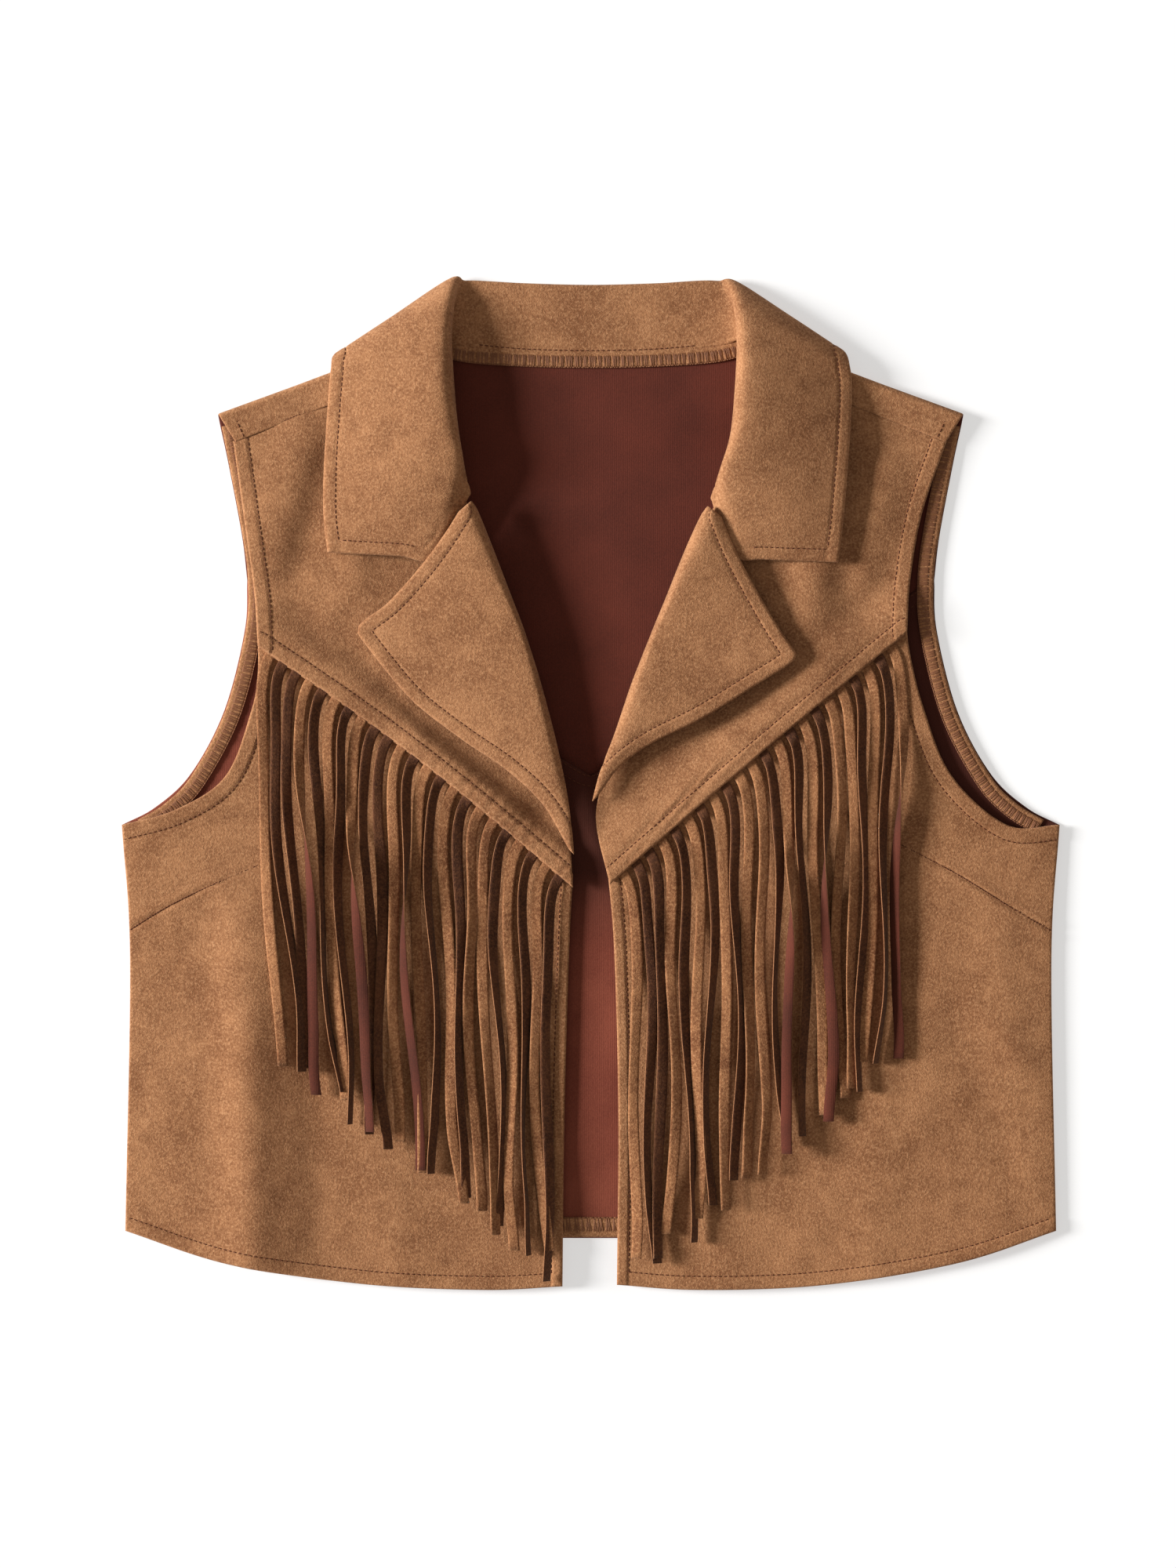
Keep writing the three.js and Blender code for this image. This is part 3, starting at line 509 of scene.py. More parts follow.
def fold_over_shoulder(flat):
    """Folds the flat cut of the yoke over the shoulder on each side."""
    sign = np.where(flat[..., 0] < 0, -1.0, 1.0)
    mirrored = np.stack([flat[..., 0] * sign, flat[..., 1]], axis=-1)
    along = (shoulder_neck - shoulder_tip) / np.linalg.norm(shoulder_neck - shoulder_tip)
    out = np.array([along[1], -along[0]])
    past = (mirrored - shoulder_tip) @ out + fold_radius + cloth_thickness / 2
    angle = np.clip(past / fold_radius, 0, math.pi)
    back = np.maximum(past - math.pi * fold_radius, 0)
    moved = np.where(past > 0, fold_radius * np.sin(angle) - back - past, 0)
    folded = mirrored + moved[..., None] * out
    lift = fall_lift(flat[..., 0], np.minimum(flat[..., 1], shoulder_neck[1]))
    height = cloth_thickness / 2 + lift + fold_radius * (1 - np.cos(angle))
    return np.stack([folded[..., 0] * sign, folded[..., 1], height], axis=-1)


middle = fold_over_shoulder(flat)
relief = 0.5 * (1 - smooth((distance_to(middle, seam_line) - 1) / 2))
back_yoke, _ = cloth("back_yoke_over_shoulders", middle, relief, cloth_thickness, neck_reverse_with_painted_shade, suede)
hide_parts("back_yoke")


# The back's edges are turned in and overlocked. Narrow bands of them show inside the neck, the
# armholes and the hem, each with a zigzag of thread over its raw edge.
seam_gap = 0.3
band_thickness = 1.0
overlock_starts, overlock_ends = [], []


def sewing_thread(name, dark, light):
    """Twisted thread."""
    finish = Finish(name, roughness=0.6)
    twist = finish.noise(2600, 2, finish.place())
    finish.feed(finish.surface.inputs["Base Color"], finish.between(twist, dark, light))
    finish.raised(twist, 0.0001, 0.5)
    return finish.material


overlock_thread = sewing_thread("overlock_thread", colour(104, 62, 42), colour(152, 104, 72))


def beside_each_other(base, corners):
    """The pairs of corners that are next to each other in one ring round a thread or a strand."""
    return [(base + k, base + (k + 1) % corners) for k in range(corners)]


def sewn(name, starts, ends, radius, sink, material):
    """Short threads from each start to each end, whose ends go `sink` down into the cloth."""
    sides = 6
    along = ends - starts
    length = np.linalg.norm(along, axis=1, keepdims=True)
    forward = along / length
    side = np.cross(forward, [0, 0, 1.0])
    side /= np.linalg.norm(side, axis=1, keepdims=True)
    up = np.cross(side, forward)
    rings = []
    for share, lift, swell in ((0, -1, 0.5), (0.16, 0, 1), (0.84, 0, 1), (1, -1, 0.5)):
        centre = starts + along * share + up * (sink * lift)
        for k in range(sides):
            turn = 2 * math.pi * k / sides
            offset = side * (math.cos(turn) * radius * swell) + up * (math.sin(turn) * radius * swell)
            rings.append(centre + offset)
    places = np.stack(rings, axis=1).reshape(-1, 3)
    pattern = []
    for ring in range(3):
        for here, beside in beside_each_other(ring * sides, sides):
            pattern.append([here, here + sides, beside + sides, beside])
    caps = [list(range(sides)), list(range(4 * sides - 1, 3 * sides - 1, -1))]
    faces = []
    for number in range(len(starts)):
        base = number * 4 * sides
        faces += [[base + corner for corner in face] for face in pattern + caps]
    return mesh_piece(name, places, faces, [material], [0] * len(faces))


def turned_band(name, node, curve, width, pitch):
    """A turned edge `width` wide that runs along a curve and lies on the back. Its raw edge is on the
    left of the curve, with a loop of overlocking each `pitch`."""
    u, v = threads_across(300, 1.6, fine=False), np.linspace(0, 1, 8)
    outer = curve(u)
    along = np.gradient(outer, axis=0)
    inward = np.stack([-along[:, 1], along[:, 0]], axis=1)
    inward /= np.linalg.norm(inward, axis=1, keepdims=True)
    flat = outer[:, None] + inward[:, None] * (v[None, :, None] * width)
    height = cloth_thickness + seam_gap + fall_lift(flat[..., 0], flat[..., 1]) + band_thickness / 2
    height = height + 0.12 * np.sin(np.arange(len(u)) * 1.3)[:, None] * v[None]
    even = np.zeros(height.shape)
    band, upper = cloth(name, at_height(flat, height), even, band_thickness, suede, suede, rounding=0.7)
    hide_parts(node)
    walked = distance_along(upper[:, -1])
    marks = np.arange(pitch, walked[-1] - pitch, pitch)
    wander = 0.25 * np.sin(np.arange(len(marks)) * 2.4) * pitch

    def threads_at(row, shift, lift):
        return points_at(marks + shift, walked, upper[:, row]) + np.array([0, 0, lift])

    raw, sewn_in = threads_at(-1, wander, 0.15), threads_at(2, wander, 0.1)
    beside = threads_at(2, wander + pitch * 0.5, 0.1)
    overlock_starts.extend([sewn_in, raw, raw[:-1]])
    overlock_ends.extend([raw, beside, raw[1:]])
    return band


def band_armhole(sign):
    return on_side(sign, [(231, -18.5), (217, -10), (203.4, 4.4), (186.4, 37), (176, 78),
                          (174.8, 104), (177.6, 127), (184, 161), (188.2, 182)])


hem_line = through([(-210, -228.4), (0, -231.3), (210, -228.4)])
half_neck = [(75.5, 226), (60, 222.8), (30, 220.9)]
neck_line = through(half_neck + [(0, 220.4)] + [(-x, y) for x, y in half_neck[::-1]])
# Piece, node, fold of the edge, width, pitch of the overlocking, flat size and its area
bands = [
    ("hem_turned_in", "turned_hem_back", hem_line, 10, 2.0, (0.42, 0.01), 0.0042),
    ("armhole_turned_in_left", "turned_armhole_left", backwards(band_armhole(-1)), 8, 1.3, (0.215, 0.01),
     0.0017),
    ("armhole_turned_in_right", "turned_armhole_right", band_armhole(1), 8, 1.3, (0.215, 0.01), 0.0017),
    ("neck_edge_turned_in", "turned_neck_edge", neck_line, 8.4, 1.5, (0.142, 0.01), 0.0012),
]
for name, node, curve, width, pitch, cut, area in bands:
    band = turned_band(name, node, curve, width, pitch)
overlock = sewn("overlocking", np.concatenate(overlock_starts), np.concatenate(overlock_ends),
                radius=0.3, sink=0.15, material=overlock_thread)


# Each lower front is one piece with a dart from the side seam towards the bust. Its hem, armhole and
# front edge are turned in and stitched down, and its upper edge goes up under the yoke.
front_seams = {
    "left": {"arm_x": -169.5, "arm_y": 70, "edge_x": -9, "edge_y": -53, "bow": 5},
    "right": {"arm_x": 161, "arm_y": 77, "edge_x": 9.6, "edge_y": -51.4, "bow": 1.5},
}
# Broad folds, as in the solid: from x and y, to x and y, width, height
broad_folds = [
    ((-176, -70), (-173, -235), 15, 1.2),
    ((-120, -120), (-96, -245), 16, 0.8),
    ((-141, 176), (-158, 118), 10, 1.5),
    ((-122, 128), (-112, 86), 11, 1.0),
    ((206, -84), (222, -136), 12, 0.9),
    ((150, -140), (142, -240), 15, 1.0),
    ((62, -190), (70, -250), 13, 0.7),
    ((147, 158), (140, 104), 9, 1.3),
    ((116, 122), (110, 84), 11, 0.9),
]
# Finer creases and troughs on top of them, in the same order
fine_creases = [
    ((-173, -92), (-171, -242), 27, 4.6),
    ((-173, -120), (-172, -240), 9, 0.8),
    ((-196, -60), (-192, -200), 10, -0.6),
    ((-142, -110), (-138, -236), 9, -0.7),
    ((-214, -75), (-190, -55), 9, 0.4),
    ((-110, -205), (-60, -216), 12, 0.5),
    ((-60, -215), (-40, -240), 9, 0.4),
    ((-222, -150), (-205, -215), 10, 0.35),
    ((196, -110), (230, -150), 7, 0.6),
    ((186, -125), (214, -190), 9, -0.5),
    ((212, -70), (196, -50), 8, 0.4),
    ((160, -205), (206, -225), 11, 0.4),
    ((176, -90), (168, -180), 9, 0.4),
    ((120, -215), (104, -245), 8, 0.4),
    ((206, -190), (224, -215), 9, -0.3),
    ((-151, 180), (-170, 124), 10, 1.3),
    ((-134, 166), (-150, 108), 9, -1.3),
    ((-120, 108), (-132, 84), 8, 0.7),
    ((-82, 39), (-24, -10), 9, -1.7),
    ((-88, 24), (-44, -12), 10, 1.6),
    ((-118, 62), (-150, 84), 8, -0.5),
    ((134, 166), (128, 100), 9, -1.2),
    ((154, 160), (150, 120), 8, 0.8),
    ((115, 124), (111, 74), 26, 4.2),
    ((146, 116), (141, 86), 14, -1.5),
    ((92, 44), (118, 62), 7, 0.6),
    ((30, -8), (60, 18), 7, -0.8),
]
front_armholes = {
    "left": [(-half_chest, underarm_y), (-211, -13), (-186, 4), (-173, 37), (-169.7, 56), (-169.6, 77)],
    "right": [(half_chest, underarm_y), (212, -21), (184, 4), (170, 38), (163, 66), (161, 84)],
}
front_edges = {
    "left": [(-9, -46), (-11, -86), (-13.4, -170), (-14.4, -256.2)],
    "right": [(8.6, -44), (12, -86), (14.1, -170), (13.3, -255.4)],
}
front_hems = {
    "left": [(-hem_side[0], hem_side[1]), (-186, -244.3), (-118, -254.8), (-55, -258), (-14.4, -256.2)],
    "right": [(13.3, -255.4), (55, -258), (118, -255.6), (186, -244.6), hem_side],
}
darts = {
    "left": [(-234.9, -74.6), (-216.7, -63.3), (-195.6, -52.8), (-168.9, -41.3), (-159.4, -37),
             (-140, -30)],
    "right": [(234.5, -75), (212.9, -62.4), (187.4, -46.6), (157.8, -30.9), (148.1, -26),
              (118.6, -8.6)],
}
# How far the fronts lie above the back, and how far from the side seams they have risen to it
side_loft, side_round = 1.9, 10.0
seam_allowance = 7.0
hem_stitch, edge_stitch, arm_stitch = 7.0, 5.8, 7.6
ditch_starts, ditch_ends = [], []


def front_seam_y(side, x):
    """How far up the vest a front's yoke seam is at `x`."""
    seam = front_seams[side]
    t = (x - seam["arm_x"]) / (seam["edge_x"] - seam["arm_x"])
    bow = seam["bow"] * np.sin(np.pi * np.clip(t, 0, 1))
    return seam["arm_y"] + (seam["edge_y"] - seam["arm_y"]) * t + bow


def folds_at(folds, x, y):
    """How far a list of folds raises the cloth at a place."""
    height = np.zeros(np.shape(x))
    for (from_x, from_y), (to_x, to_y), width, size in folds:
        along = np.array([to_x - from_x, to_y - from_y], float)
        t = np.clip(((x - from_x) * along[0] + (y - from_y) * along[1]) / (along @ along), 0, 1)
        off = np.hypot(x - from_x - t * along[0], y - from_y - t * along[1]) / width
        height = height + size * np.exp(-off * off)
    return height


def front_underside(x, y):
    """How high above the table the underside of the fronts is at a place."""
    inside = np.maximum(half_chest - np.abs(x), 0)
    loft = side_loft * (1 - np.exp(-inside / side_round))
    settled = smooth(inside / 30)
    folds = folds_at(broad_folds + fine_creases, x, y) * settled
    return cloth_thickness + seam_gap + fall_lift(x, y) + loft + folds


def ditch(line, height=0.0):
    """Marks a thread that runs down in a seam along a line of points."""
    line = np.asarray(line, float) + np.array([0, 0, height])
    walked = distance_along(line)
    points = points_at(np.arange(0, walked[-1], 1.6), walked, line)
    ditch_starts.append(points[:-1])
    ditch_ends.append(points[1:])


def front_seam(side, up):
    """A front's yoke seam from -X to +X, moved up the vest."""
    start, end = sorted([front_seams[side]["arm_x"], front_seams[side]["edge_x"]])

    def curve(t):
        x = start + (end - start) * np.asarray(t, float)
        return np.stack([x, front_seam_y(side, x) + up], axis=-1)

    return curve


for side in ("left", "right"):
    armhole = through(front_armholes[side])
    seam = front_seam(side, seam_allowance)
    hem = through(front_hems[side])
    front_edge = backwards(through(front_edges[side]))
    if side == "left":
        plan = patch(hem, joined((armhole, 0.4), (seam, 0.6)), side_seam(-1), front_edge)
        edge_side, corner = "right", 0.4
    else:
        plan = patch(hem, joined((seam, 0.6), (backwards(armhole), 0.4)), front_edge, side_seam(1))
        edge_side, corner = "left", 0.6
    u, v = threads_across(226, 1.9, (corner,)), threads_across(240, 1.9)
    flat = plan(u, v)
    x, y = flat[..., 0], flat[..., 1]
    middle = at_height(flat, front_underside(x, y) + cloth_thickness / 2)
    dart = np.array(darts[side], float)
    from_dart = distance_to(flat, dart)
    fade = smooth((np.abs(dart[-1, 0] - x) / abs(dart[-1, 0] - dart[0, 0])) * 1.2)
    beyond_dart = (x - dart[-1, 0]) * np.sign(dart[0, 0]) > 0
    pressed = 0.25 * np.exp(-((from_dart - 2.2) / 2.2) ** 2) - 0.75 * np.exp(-((from_dart / 0.55) ** 2))
    relief = np.where(beyond_dart, pressed * fade, 0)
    relief += turned_edge(distance_to(middle, middle[:, 0]), hem_stitch)
    relief += turned_edge(distance_to(middle, middle[-1 if side == "left" else 0]), edge_stitch)
    corner_at = int(np.argmin(np.abs(u - corner)))
    arm_line = middle[:corner_at + 1, -1] if side == "left" else middle[corner_at:, -1]
    relief += turned_edge(distance_to(middle, arm_line), arm_stitch)
    panel, upper = cloth(f"lower_front_{side}", middle, relief, cloth_thickness, suede, reverse)
    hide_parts(f"front_panel_{side}")
    dart_line = through(dart)(np.linspace(0, 0.97, 80))
    dart_height = front_underside(dart_line[:, 0], dart_line[:, 1]) + cloth_thickness
    ditch(at_height(dart_line, dart_height), height=-0.25)
    stitch(inset_line(upper, "bottom", hem_stitch, beside=[(edge_side, edge_stitch), (side, 1.5)]))
    stitch(inset_line(upper, edge_side, edge_stitch, beside=[("bottom", hem_stitch)], along=(0, 0.96)))
    arm_along = (0, corner_at / (len(u) - 1)) if side == "left" else (corner_at / (len(u) - 1), 1)
    stitch(inset_line(upper, "top", arm_stitch, along=arm_along))


# Each fringe is one strip of suede, cut into strands to within a few millimetres of its edge and
# sewn into the yoke seam. The strands bend down from the seam and lie on or under their neighbours,
# and some have turned over, so that their red-brown reverse shows.
strand_length, strand_width, strand_thickness = 208.0, 7.4, 0.9
strand_shown = 5.5
strand_bend = 10.0
strip_thickness, strip_depth, strip_steps = 1.0, 6, 60
# How far each strand leans towards +X at its end, how far it has turned over, how far it is lifted
strands = {
    "left": [
        (11, 34, 0), (13.5, 62, 0), (12.5, 44, 0.4), (13, 162, 4.4), (12, 78, 0), (10.5, 46, 0), (8, 60, 0),
        (7.6, 156, 5), (5, 38, 0), (5.6, 50, 0), (5, 40, 0), (5, 152, 3.8), (4.8, 74, 0), (5.4, 66, 0),
        (6.4, 38, 0), (6.6, 42, 0), (6.2, 36, 0), (5.2, 72, 0), (4.6, 58, 0), (4.4, 36, 0), (4, 84, 0),
        (3.2, 46, 0), (1.8, 34, 0),
    ],
    "right": [
        (-7.4, 158, 1.6), (-6.8, 66, 0), (-5.2, 42, 0), (-3, 54, 0), (-0.6, 72, 0), (1.6, 42, 0),
        (2.8, 160, 4.2), (3, 40, 0), (3.6, 42, 0), (1.8, 152, 4.2), (1.2, 76, 0), (0.4, 64, 0),
        (-0.2, 38, 0), (-0.4, 70, 0), (-0.4, 56, 0), (-0.2, 40, 0), (0, 36, 0), (0.2, 46, 0),
        (0.4, 36, 0), (0.4, 52, 0), (0.4, 42, 0), (0.6, 34, 0),
    ],
}
# A strand's section, as shares of its width and thickness: its tan face, a cut edge, its reverse and
# the other cut edge, and which finish each side of it has
strand_section = [(-0.5, 0.15), (-0.47, 0.42), (-0.3, 0.5), (0, 0.56), (0.3, 0.5), (0.47, 0.42),
                  (0.5, 0.15), (0.5, -0.2), (0.46, -0.45), (0, -0.4), (-0.46, -0.45), (-0.5, -0.2)]
brushed_face, turned_reverse, cut_side, strand_face_in_painted_shade = range(4)
section_finish = [brushed_face] * 6 + [cut_side] + [turned_reverse] * 4 + [cut_side]
# How far from its root a strand has sections, closer together where it bends
distances = np.concatenate([[-3, 0, 1.5, 3, 5], np.arange(7, 60, 2.2),
                            np.arange(60, strand_length, 4), [strand_length]])

# The strands' suede is a little darker than the body's: partly a browner tone of their own, partly painted
# shade for the gaps among the strands
strand_suede = brushed_suede("suede_face_of_strands", colour(116, 70, 41), colour(172, 118, 77),
                             colour(210, 160, 116))
# A much darker copy of the strands' suede, for strands that lie under their neighbours: painted shade
shaded_suede = brushed_suede("suede_of_strands_with_painted_shade", colour(66, 34, 19), colour(104, 62, 37),
                             colour(138, 92, 58))
strand_reverse = knitted_reverse("suede_reverse_of_strands", colour(60, 25, 15), colour(96, 44, 29),
                                 colour(46, 18, 11))


def cut_cloth(name, dark, light):
    """The frayed fibres along a cut."""
    finish = Finish(name, roughness=0.95, sheen=0.1)
    fibres = finish.noise(1800, 3, finish.place(), roughness=0.7)
    frayed = finish.between(finish.stretched(fibres, 0.35, 0.65), dark, light)
    finish.feed(finish.surface.inputs["Base Color"], frayed)
    finish.raised(fibres, 0.0003, 0.5)
    return finish.material


cut_edge = cut_cloth("suede_cut_edge", colour(128, 82, 52), colour(178, 128, 88))


def own_place(side, number):
    """A number of each strand's own, from which its waves, its curl and its lie are worked out."""
    return number + (0.5 if side == "right" else 0)


def lie(own):
    """1 where a strand lies on top of its neighbours, and -1 where it lies under them."""
    return math.sin(own * 2.7 + 0.8)


def strand_frame(side, number, distance):
    """The middle of a strand, the direction across it and the way out of its face."""
    lean, turn, lift = strands[side][number]
    own = own_place(side, number)
    on_top = lie(own)
    root_tilt = 14 - 18 * on_top
    turn = turn if turn > 100 else 0.35 * turn + 8 - 26 * on_top
    low_lying = min(1, 0.1 + number / 5)
    lift = (0.6 * lift + 1.4 + 1.4 * on_top) * low_lying
    seam = front_seams[side]
    inner = 1 if side == "left" else -1
    first = seam["arm_x"] + inner * (6.5 if side == "left" else 8.5)
    last = seam["edge_x"] - inner * 6.5
    root_x = first + (last - first) * number / (len(strands[side]) - 1)
    root_y = front_seam_y(side, root_x)
    slope = (front_seam_y(side, root_x + 1) - front_seam_y(side, root_x - 1)) / 2
    square_x, square_y = slope / math.hypot(slope, 1), -1 / math.hypot(slope, 1)
    hanging = np.maximum(distance, 0)
    under = np.minimum(distance, 0)
    run = hanging / strand_length
    bent = strand_bend * (1 - np.exp(-hanging / strand_bend))
    loose = 0.9 + 1.2 * abs(math.sin(own * 1.3))
    sway = loose * np.sin(2 * math.pi * (1.3 * run + number * 0.19)) * smooth(run * 3)
    strays = 2.4 * math.sin(own * 1.9) * run ** 2
    curl = 2.0 * math.sin(own * 3.7) * smooth((run - 0.84) / 0.16)
    x = root_x + square_x * (bent + under) + lean * run ** 1.6 + sway + strays + curl
    y = root_y - hanging + (1 + square_y) * bent + square_y * under
    emerged = smooth(hanging / 9)
    turned = smooth((run - 0.14) / 0.45)
    lifted = smooth((run - 0.22) / 0.2)
    waver = 12 * np.sin(2 * math.pi * (1.1 * run + number * 0.37)) * smooth(run * 4)
    angle = np.radians(root_tilt * emerged + (turn - root_tilt) * turned + waver)
    resting = strand_width / 2 * np.abs(np.sin(angle)) + strand_thickness / 2
    z = front_underside(x, y) + cloth_thickness + seam_gap + resting + 0.45 * low_lying + lift * lifted
    heading = math.atan2(square_x, -square_y) * np.exp(-hanging / strand_bend)
    nothing = np.zeros(len(distance))
    down = np.stack([np.sin(heading), -np.cos(heading), nothing], axis=1)
    level = np.cos(angle)
    across = np.stack([np.cos(heading) * level, np.sin(heading) * level, -np.sin(angle)], axis=1)
    return np.stack([x, y, z], axis=1), across, np.cross(down, across)


for side in ("left", "right"):
    places, faces, finish_of_face = [], [], []
    corners, stations = len(strand_section), len(distances)
    for number in range(len(strands[side])):
        turned_over = strands[side][number][1] > 100
        longer = 1.02 if turned_over else 1 + 0.026 * math.sin(number * 2.3 + 0.6)
        longer -= 0.02 if number > 19 else 0
        centre, across, out = strand_frame(side, number, distances * longer)
        width = strand_shown * (1 + 0.05 * np.sin(distances / 17 + number * 1.7))
        ribbon = [centre + across * (width * a)[:, None] + out * (strand_thickness * b)
                  for a, b in strand_section]
        places.append(np.stack(ribbon, axis=1).reshape(-1, 3))
        # Strands that lie under their neighbours get the suede with painted shade
        shown_face = strand_face_in_painted_shade if lie(own_place(side, number)) < 0 else brushed_face
        finishes = [shown_face if finish == brushed_face else finish for finish in section_finish]
        base = number * corners * stations
        for station in range(stations - 1):
            for here, beside in beside_each_other(base + station * corners, corners):
                faces.append([here, beside, beside + corners, here + corners])
            finish_of_face += finishes
        end = base + (stations - 1) * corners
        faces += [list(range(base, base + corners))[::-1], list(range(end, end + corners))]
        finish_of_face += [cut_side, cut_side]
    base = sum(len(p) for p in places)
    steps = np.linspace(0.015, 0.985, strip_steps)
    low, high = front_seam(side, -0.6)(steps), front_seam(side, strip_depth)(steps)
    strip = []
    for edge, lift in ((low, 0), (high, 0), (high, strip_thickness), (low, strip_thickness)):
        on_panel = front_underside(edge[:, 0], edge[:, 1]) + cloth_thickness + seam_gap
        strip.append(at_height(edge, on_panel + lift))
    places.append(np.stack(strip, axis=1).reshape(-1, 3))
    for step in range(strip_steps - 1):
        for here, beside in beside_each_other(base + step * 4, 4):
            faces.append([here, here + 4, beside + 4, beside])
            finish_of_face.append(brushed_face)
    end = base + (strip_steps - 1) * 4
    faces += [list(range(base, base + 4)), list(range(end, end + 4))[::-1]]
    finish_of_face += [cut_side, cut_side]
    fringe = mesh_piece(f"fringe_strands_{side}", np.concatenate(places), faces,
                        [strand_suede, strand_reverse, cut_edge, shaded_suede], finish_of_face)
    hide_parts(f"fringe_{side}")


# Each front yoke lies over the top of the fringe. Its slanted lower edge and its armhole are turned
# in and stitched, and the stitching pulls small puckers into the cloth near the front edge.
yoke_armholes = {
    "left": [(-169.5, 70), (-171.3, 96), (-176, 131), (-182.2, 174.4)],
    "right": [(161, 77), (162.6, 102), (168.6, 137), (181.4, 174.6)],
}
yoke_fronts = {
    "left": [(-9, -53), (-11, -28), (-18, 10), (-31.5, 61), (-44.5, 96), (-57.5, 130), (-65, 147)],
    "right": [(9.6, -51.4), (2.6, -16), (11, 13), (24, 49.5), (39.6, 90), (56, 128.5), (64.6, 144)],
}
yoke_necks = {
    "left": [(-65, 147), (-76, 163), (-81.4, 185), (-82.6, 216.9)],
    "right": [(64.6, 144), (76, 163), (81.4, 185), (82.6, 216.9)],
}
seam_rise = cloth_thickness + strip_thickness + 3 * seam_gap
yoke_stitch = 7.4
# The stitches of the armhole that go on past the shoulder seam, on the right
shoulder_end = [(176.6, 176.5, 5.35), (179.6, 183, 5.45), (181.8, 188.8, 4.2)]
for side in ("left", "right"):
    arm = through(yoke_armholes[side])
    front = joined((through(yoke_fronts[side]), 0.75), (through(yoke_necks[side]), 0.25))
    shoulder = through(sorted([yoke_armholes[side][-1], yoke_necks[side][-1]]))
    left_edge, right_edge = (arm, front) if side == "left" else (front, arm)
    u, v = threads_across(205, 1.9), threads_across(150, 1.7, (0.75,))
    flat = patch(front_seam(side, 0), shoulder, left_edge, right_edge)(u, v)
    x, y = flat[..., 0], flat[..., 1]
    # The yoke's edge lies on the strip. Behind it the yoke comes down over this distance
    drop = 9 + 14 * smooth((-x - 85) / 50) if side == "left" else 22
    lifted = seam_rise * (1 - smooth((distance_to(flat, flat[:, 0]) - 8.5) / drop))
    middle = at_height(flat, front_underside(x, y) + lifted + cloth_thickness / 2)
    from_seam = distance_to(middle, middle[:, 0])
    inner = np.exp(-((np.abs(x) - 45) / 34) ** 2)
    along_seam = x * 0.77 - y * 0.64
    puckers = np.sin(along_seam * 1.05 + np.sin(along_seam * 0.31) * 1.4)
    gathered = (0.22 * inner + 0.05) * puckers * np.exp(-((from_seam - 6) / 6.5) ** 2)
    relief = gathered + turned_edge(from_seam, yoke_stitch)
    relief += turned_edge(distance_to(middle, middle[0 if side == "left" else -1]), arm_stitch)
    relief -= 0.5 * np.exp(-((distance_to(middle, middle[:, -1]) / 0.9) ** 2))
    yoke, upper = cloth(f"front_yoke_piece_{side}", middle, relief, cloth_thickness, suede, reverse)
    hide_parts(f"front_yoke_{side}")
    stitch(inset_line(upper, "bottom", yoke_stitch, beside=[(side, 1.5)]))
    stitch(inset_line(upper, side, arm_stitch))
    ditch(upper[3:-3, -3], height=-0.05)
    sign = -1 if side == "left" else 1
    stitch(through([(sign * x, y, z) for x, y, z in shoulder_end])(np.linspace(0, 1, 20)))


# The collar is two layers of suede in one piece round the neck: a stand that is sewn to the neck and
# a fall that is folded over it. Round the back it lies flat, with the fall under the back yoke. It is
# stitched 6.6 mm inside its outer edge and its two ends.
doubled = 1.8
collar_stitch = 6.6
# From its front end to the back of the neck: points of the neck seam, the stand, the fold, the
# crest, the middle of the fall and its outer edge
collar_front = {
    "left": [
        [(-68, 141, 7.2), (-64.4, 143.6, 8.6), (-62.6, 144.6, 10.8),
         (-80, 114.8, 11.4), (-98, 115.6, 11), (-134, 117.6, 7.8)],
        [(-74, 158, 7), (-68.2, 160.4, 9), (-65, 161, 13),
         (-70.6, 159, 18.6), (-101, 145, 15.4), (-136, 137, 8.2)],
        [(-77.6, 178, 7), (-71.2, 182.4, 9.4), (-68.6, 184, 14),
         (-74.2, 182, 20.4), (-103, 170, 16), (-135.8, 160, 8.4)],
        [(-78.6, 197, 7), (-72.6, 204, 9.6), (-70.6, 206, 14),
         (-76.6, 203.5, 20.8), (-104, 192, 16), (-134.5, 182, 8.6)],
        [(-78.6, 211, 6.8), (-73, 222, 8.8), (-71.6, 226, 12.4),
         (-77.2, 225, 18), (-105, 212, 14.6), (-133.2, 200, 8.6)],
        [(-77.6, 219.6, 6.3), (-72.4, 237, 7.4), (-70.4, 243.4, 9.6),
         (-75.5, 244.5, 12.8), (-105, 227, 11.6), (-132.2, 210.5, 8.4)],
        [(-75, 225.6, 5.6), (-70.4, 246, 5.4), (-67.6, 253, 4.8),
         (-71.5, 256.6, 4.4), (-101, 237, 5.2), (-130.2, 217.6, 4.8)],
    ],
    "right": [
        [(67.4, 139, 7.2), (63.8, 141.4, 8.6), (62, 142.4, 10.8),
         (71.6, 116, 11.2), (90, 113.8, 11.2), (126, 112.4, 10)],
        [(74, 156, 7), (68.8, 157.6, 9), (66, 158, 13),
         (71, 156.4, 18.6), (99, 141, 16.8), (128.4, 134, 11.8)],
        [(77.8, 176, 7), (73.4, 176.8, 9.4), (71.8, 177, 14),
         (77, 176, 20.4), (103, 166, 17.4), (130.4, 158, 12)],
        [(79, 196, 7), (75.8, 200, 9.6), (74.2, 201, 14),
         (79.8, 199.5, 20.8), (106, 189, 17.2), (132, 181, 11.4)],
        [(79, 211, 6.8), (76.4, 220.6, 8.8), (75.2, 224, 12.4),
         (80.5, 223.5, 18), (107, 211, 14.6), (132.8, 200, 9)],
        [(78, 219.6, 6.3), (75.2, 235.6, 7.4), (73.8, 241.4, 9.6),
         (78.5, 243, 12.8), (106, 227.5, 11.6), (132, 211, 8.6)],
        [(75.6, 225.6, 5.6), (72.2, 244.6, 5.4), (69.6, 251.4, 4.8),
         (73.4, 255.4, 4.4), (101, 237.5, 5.2), (128.8, 219, 4.8)],
    ],
}
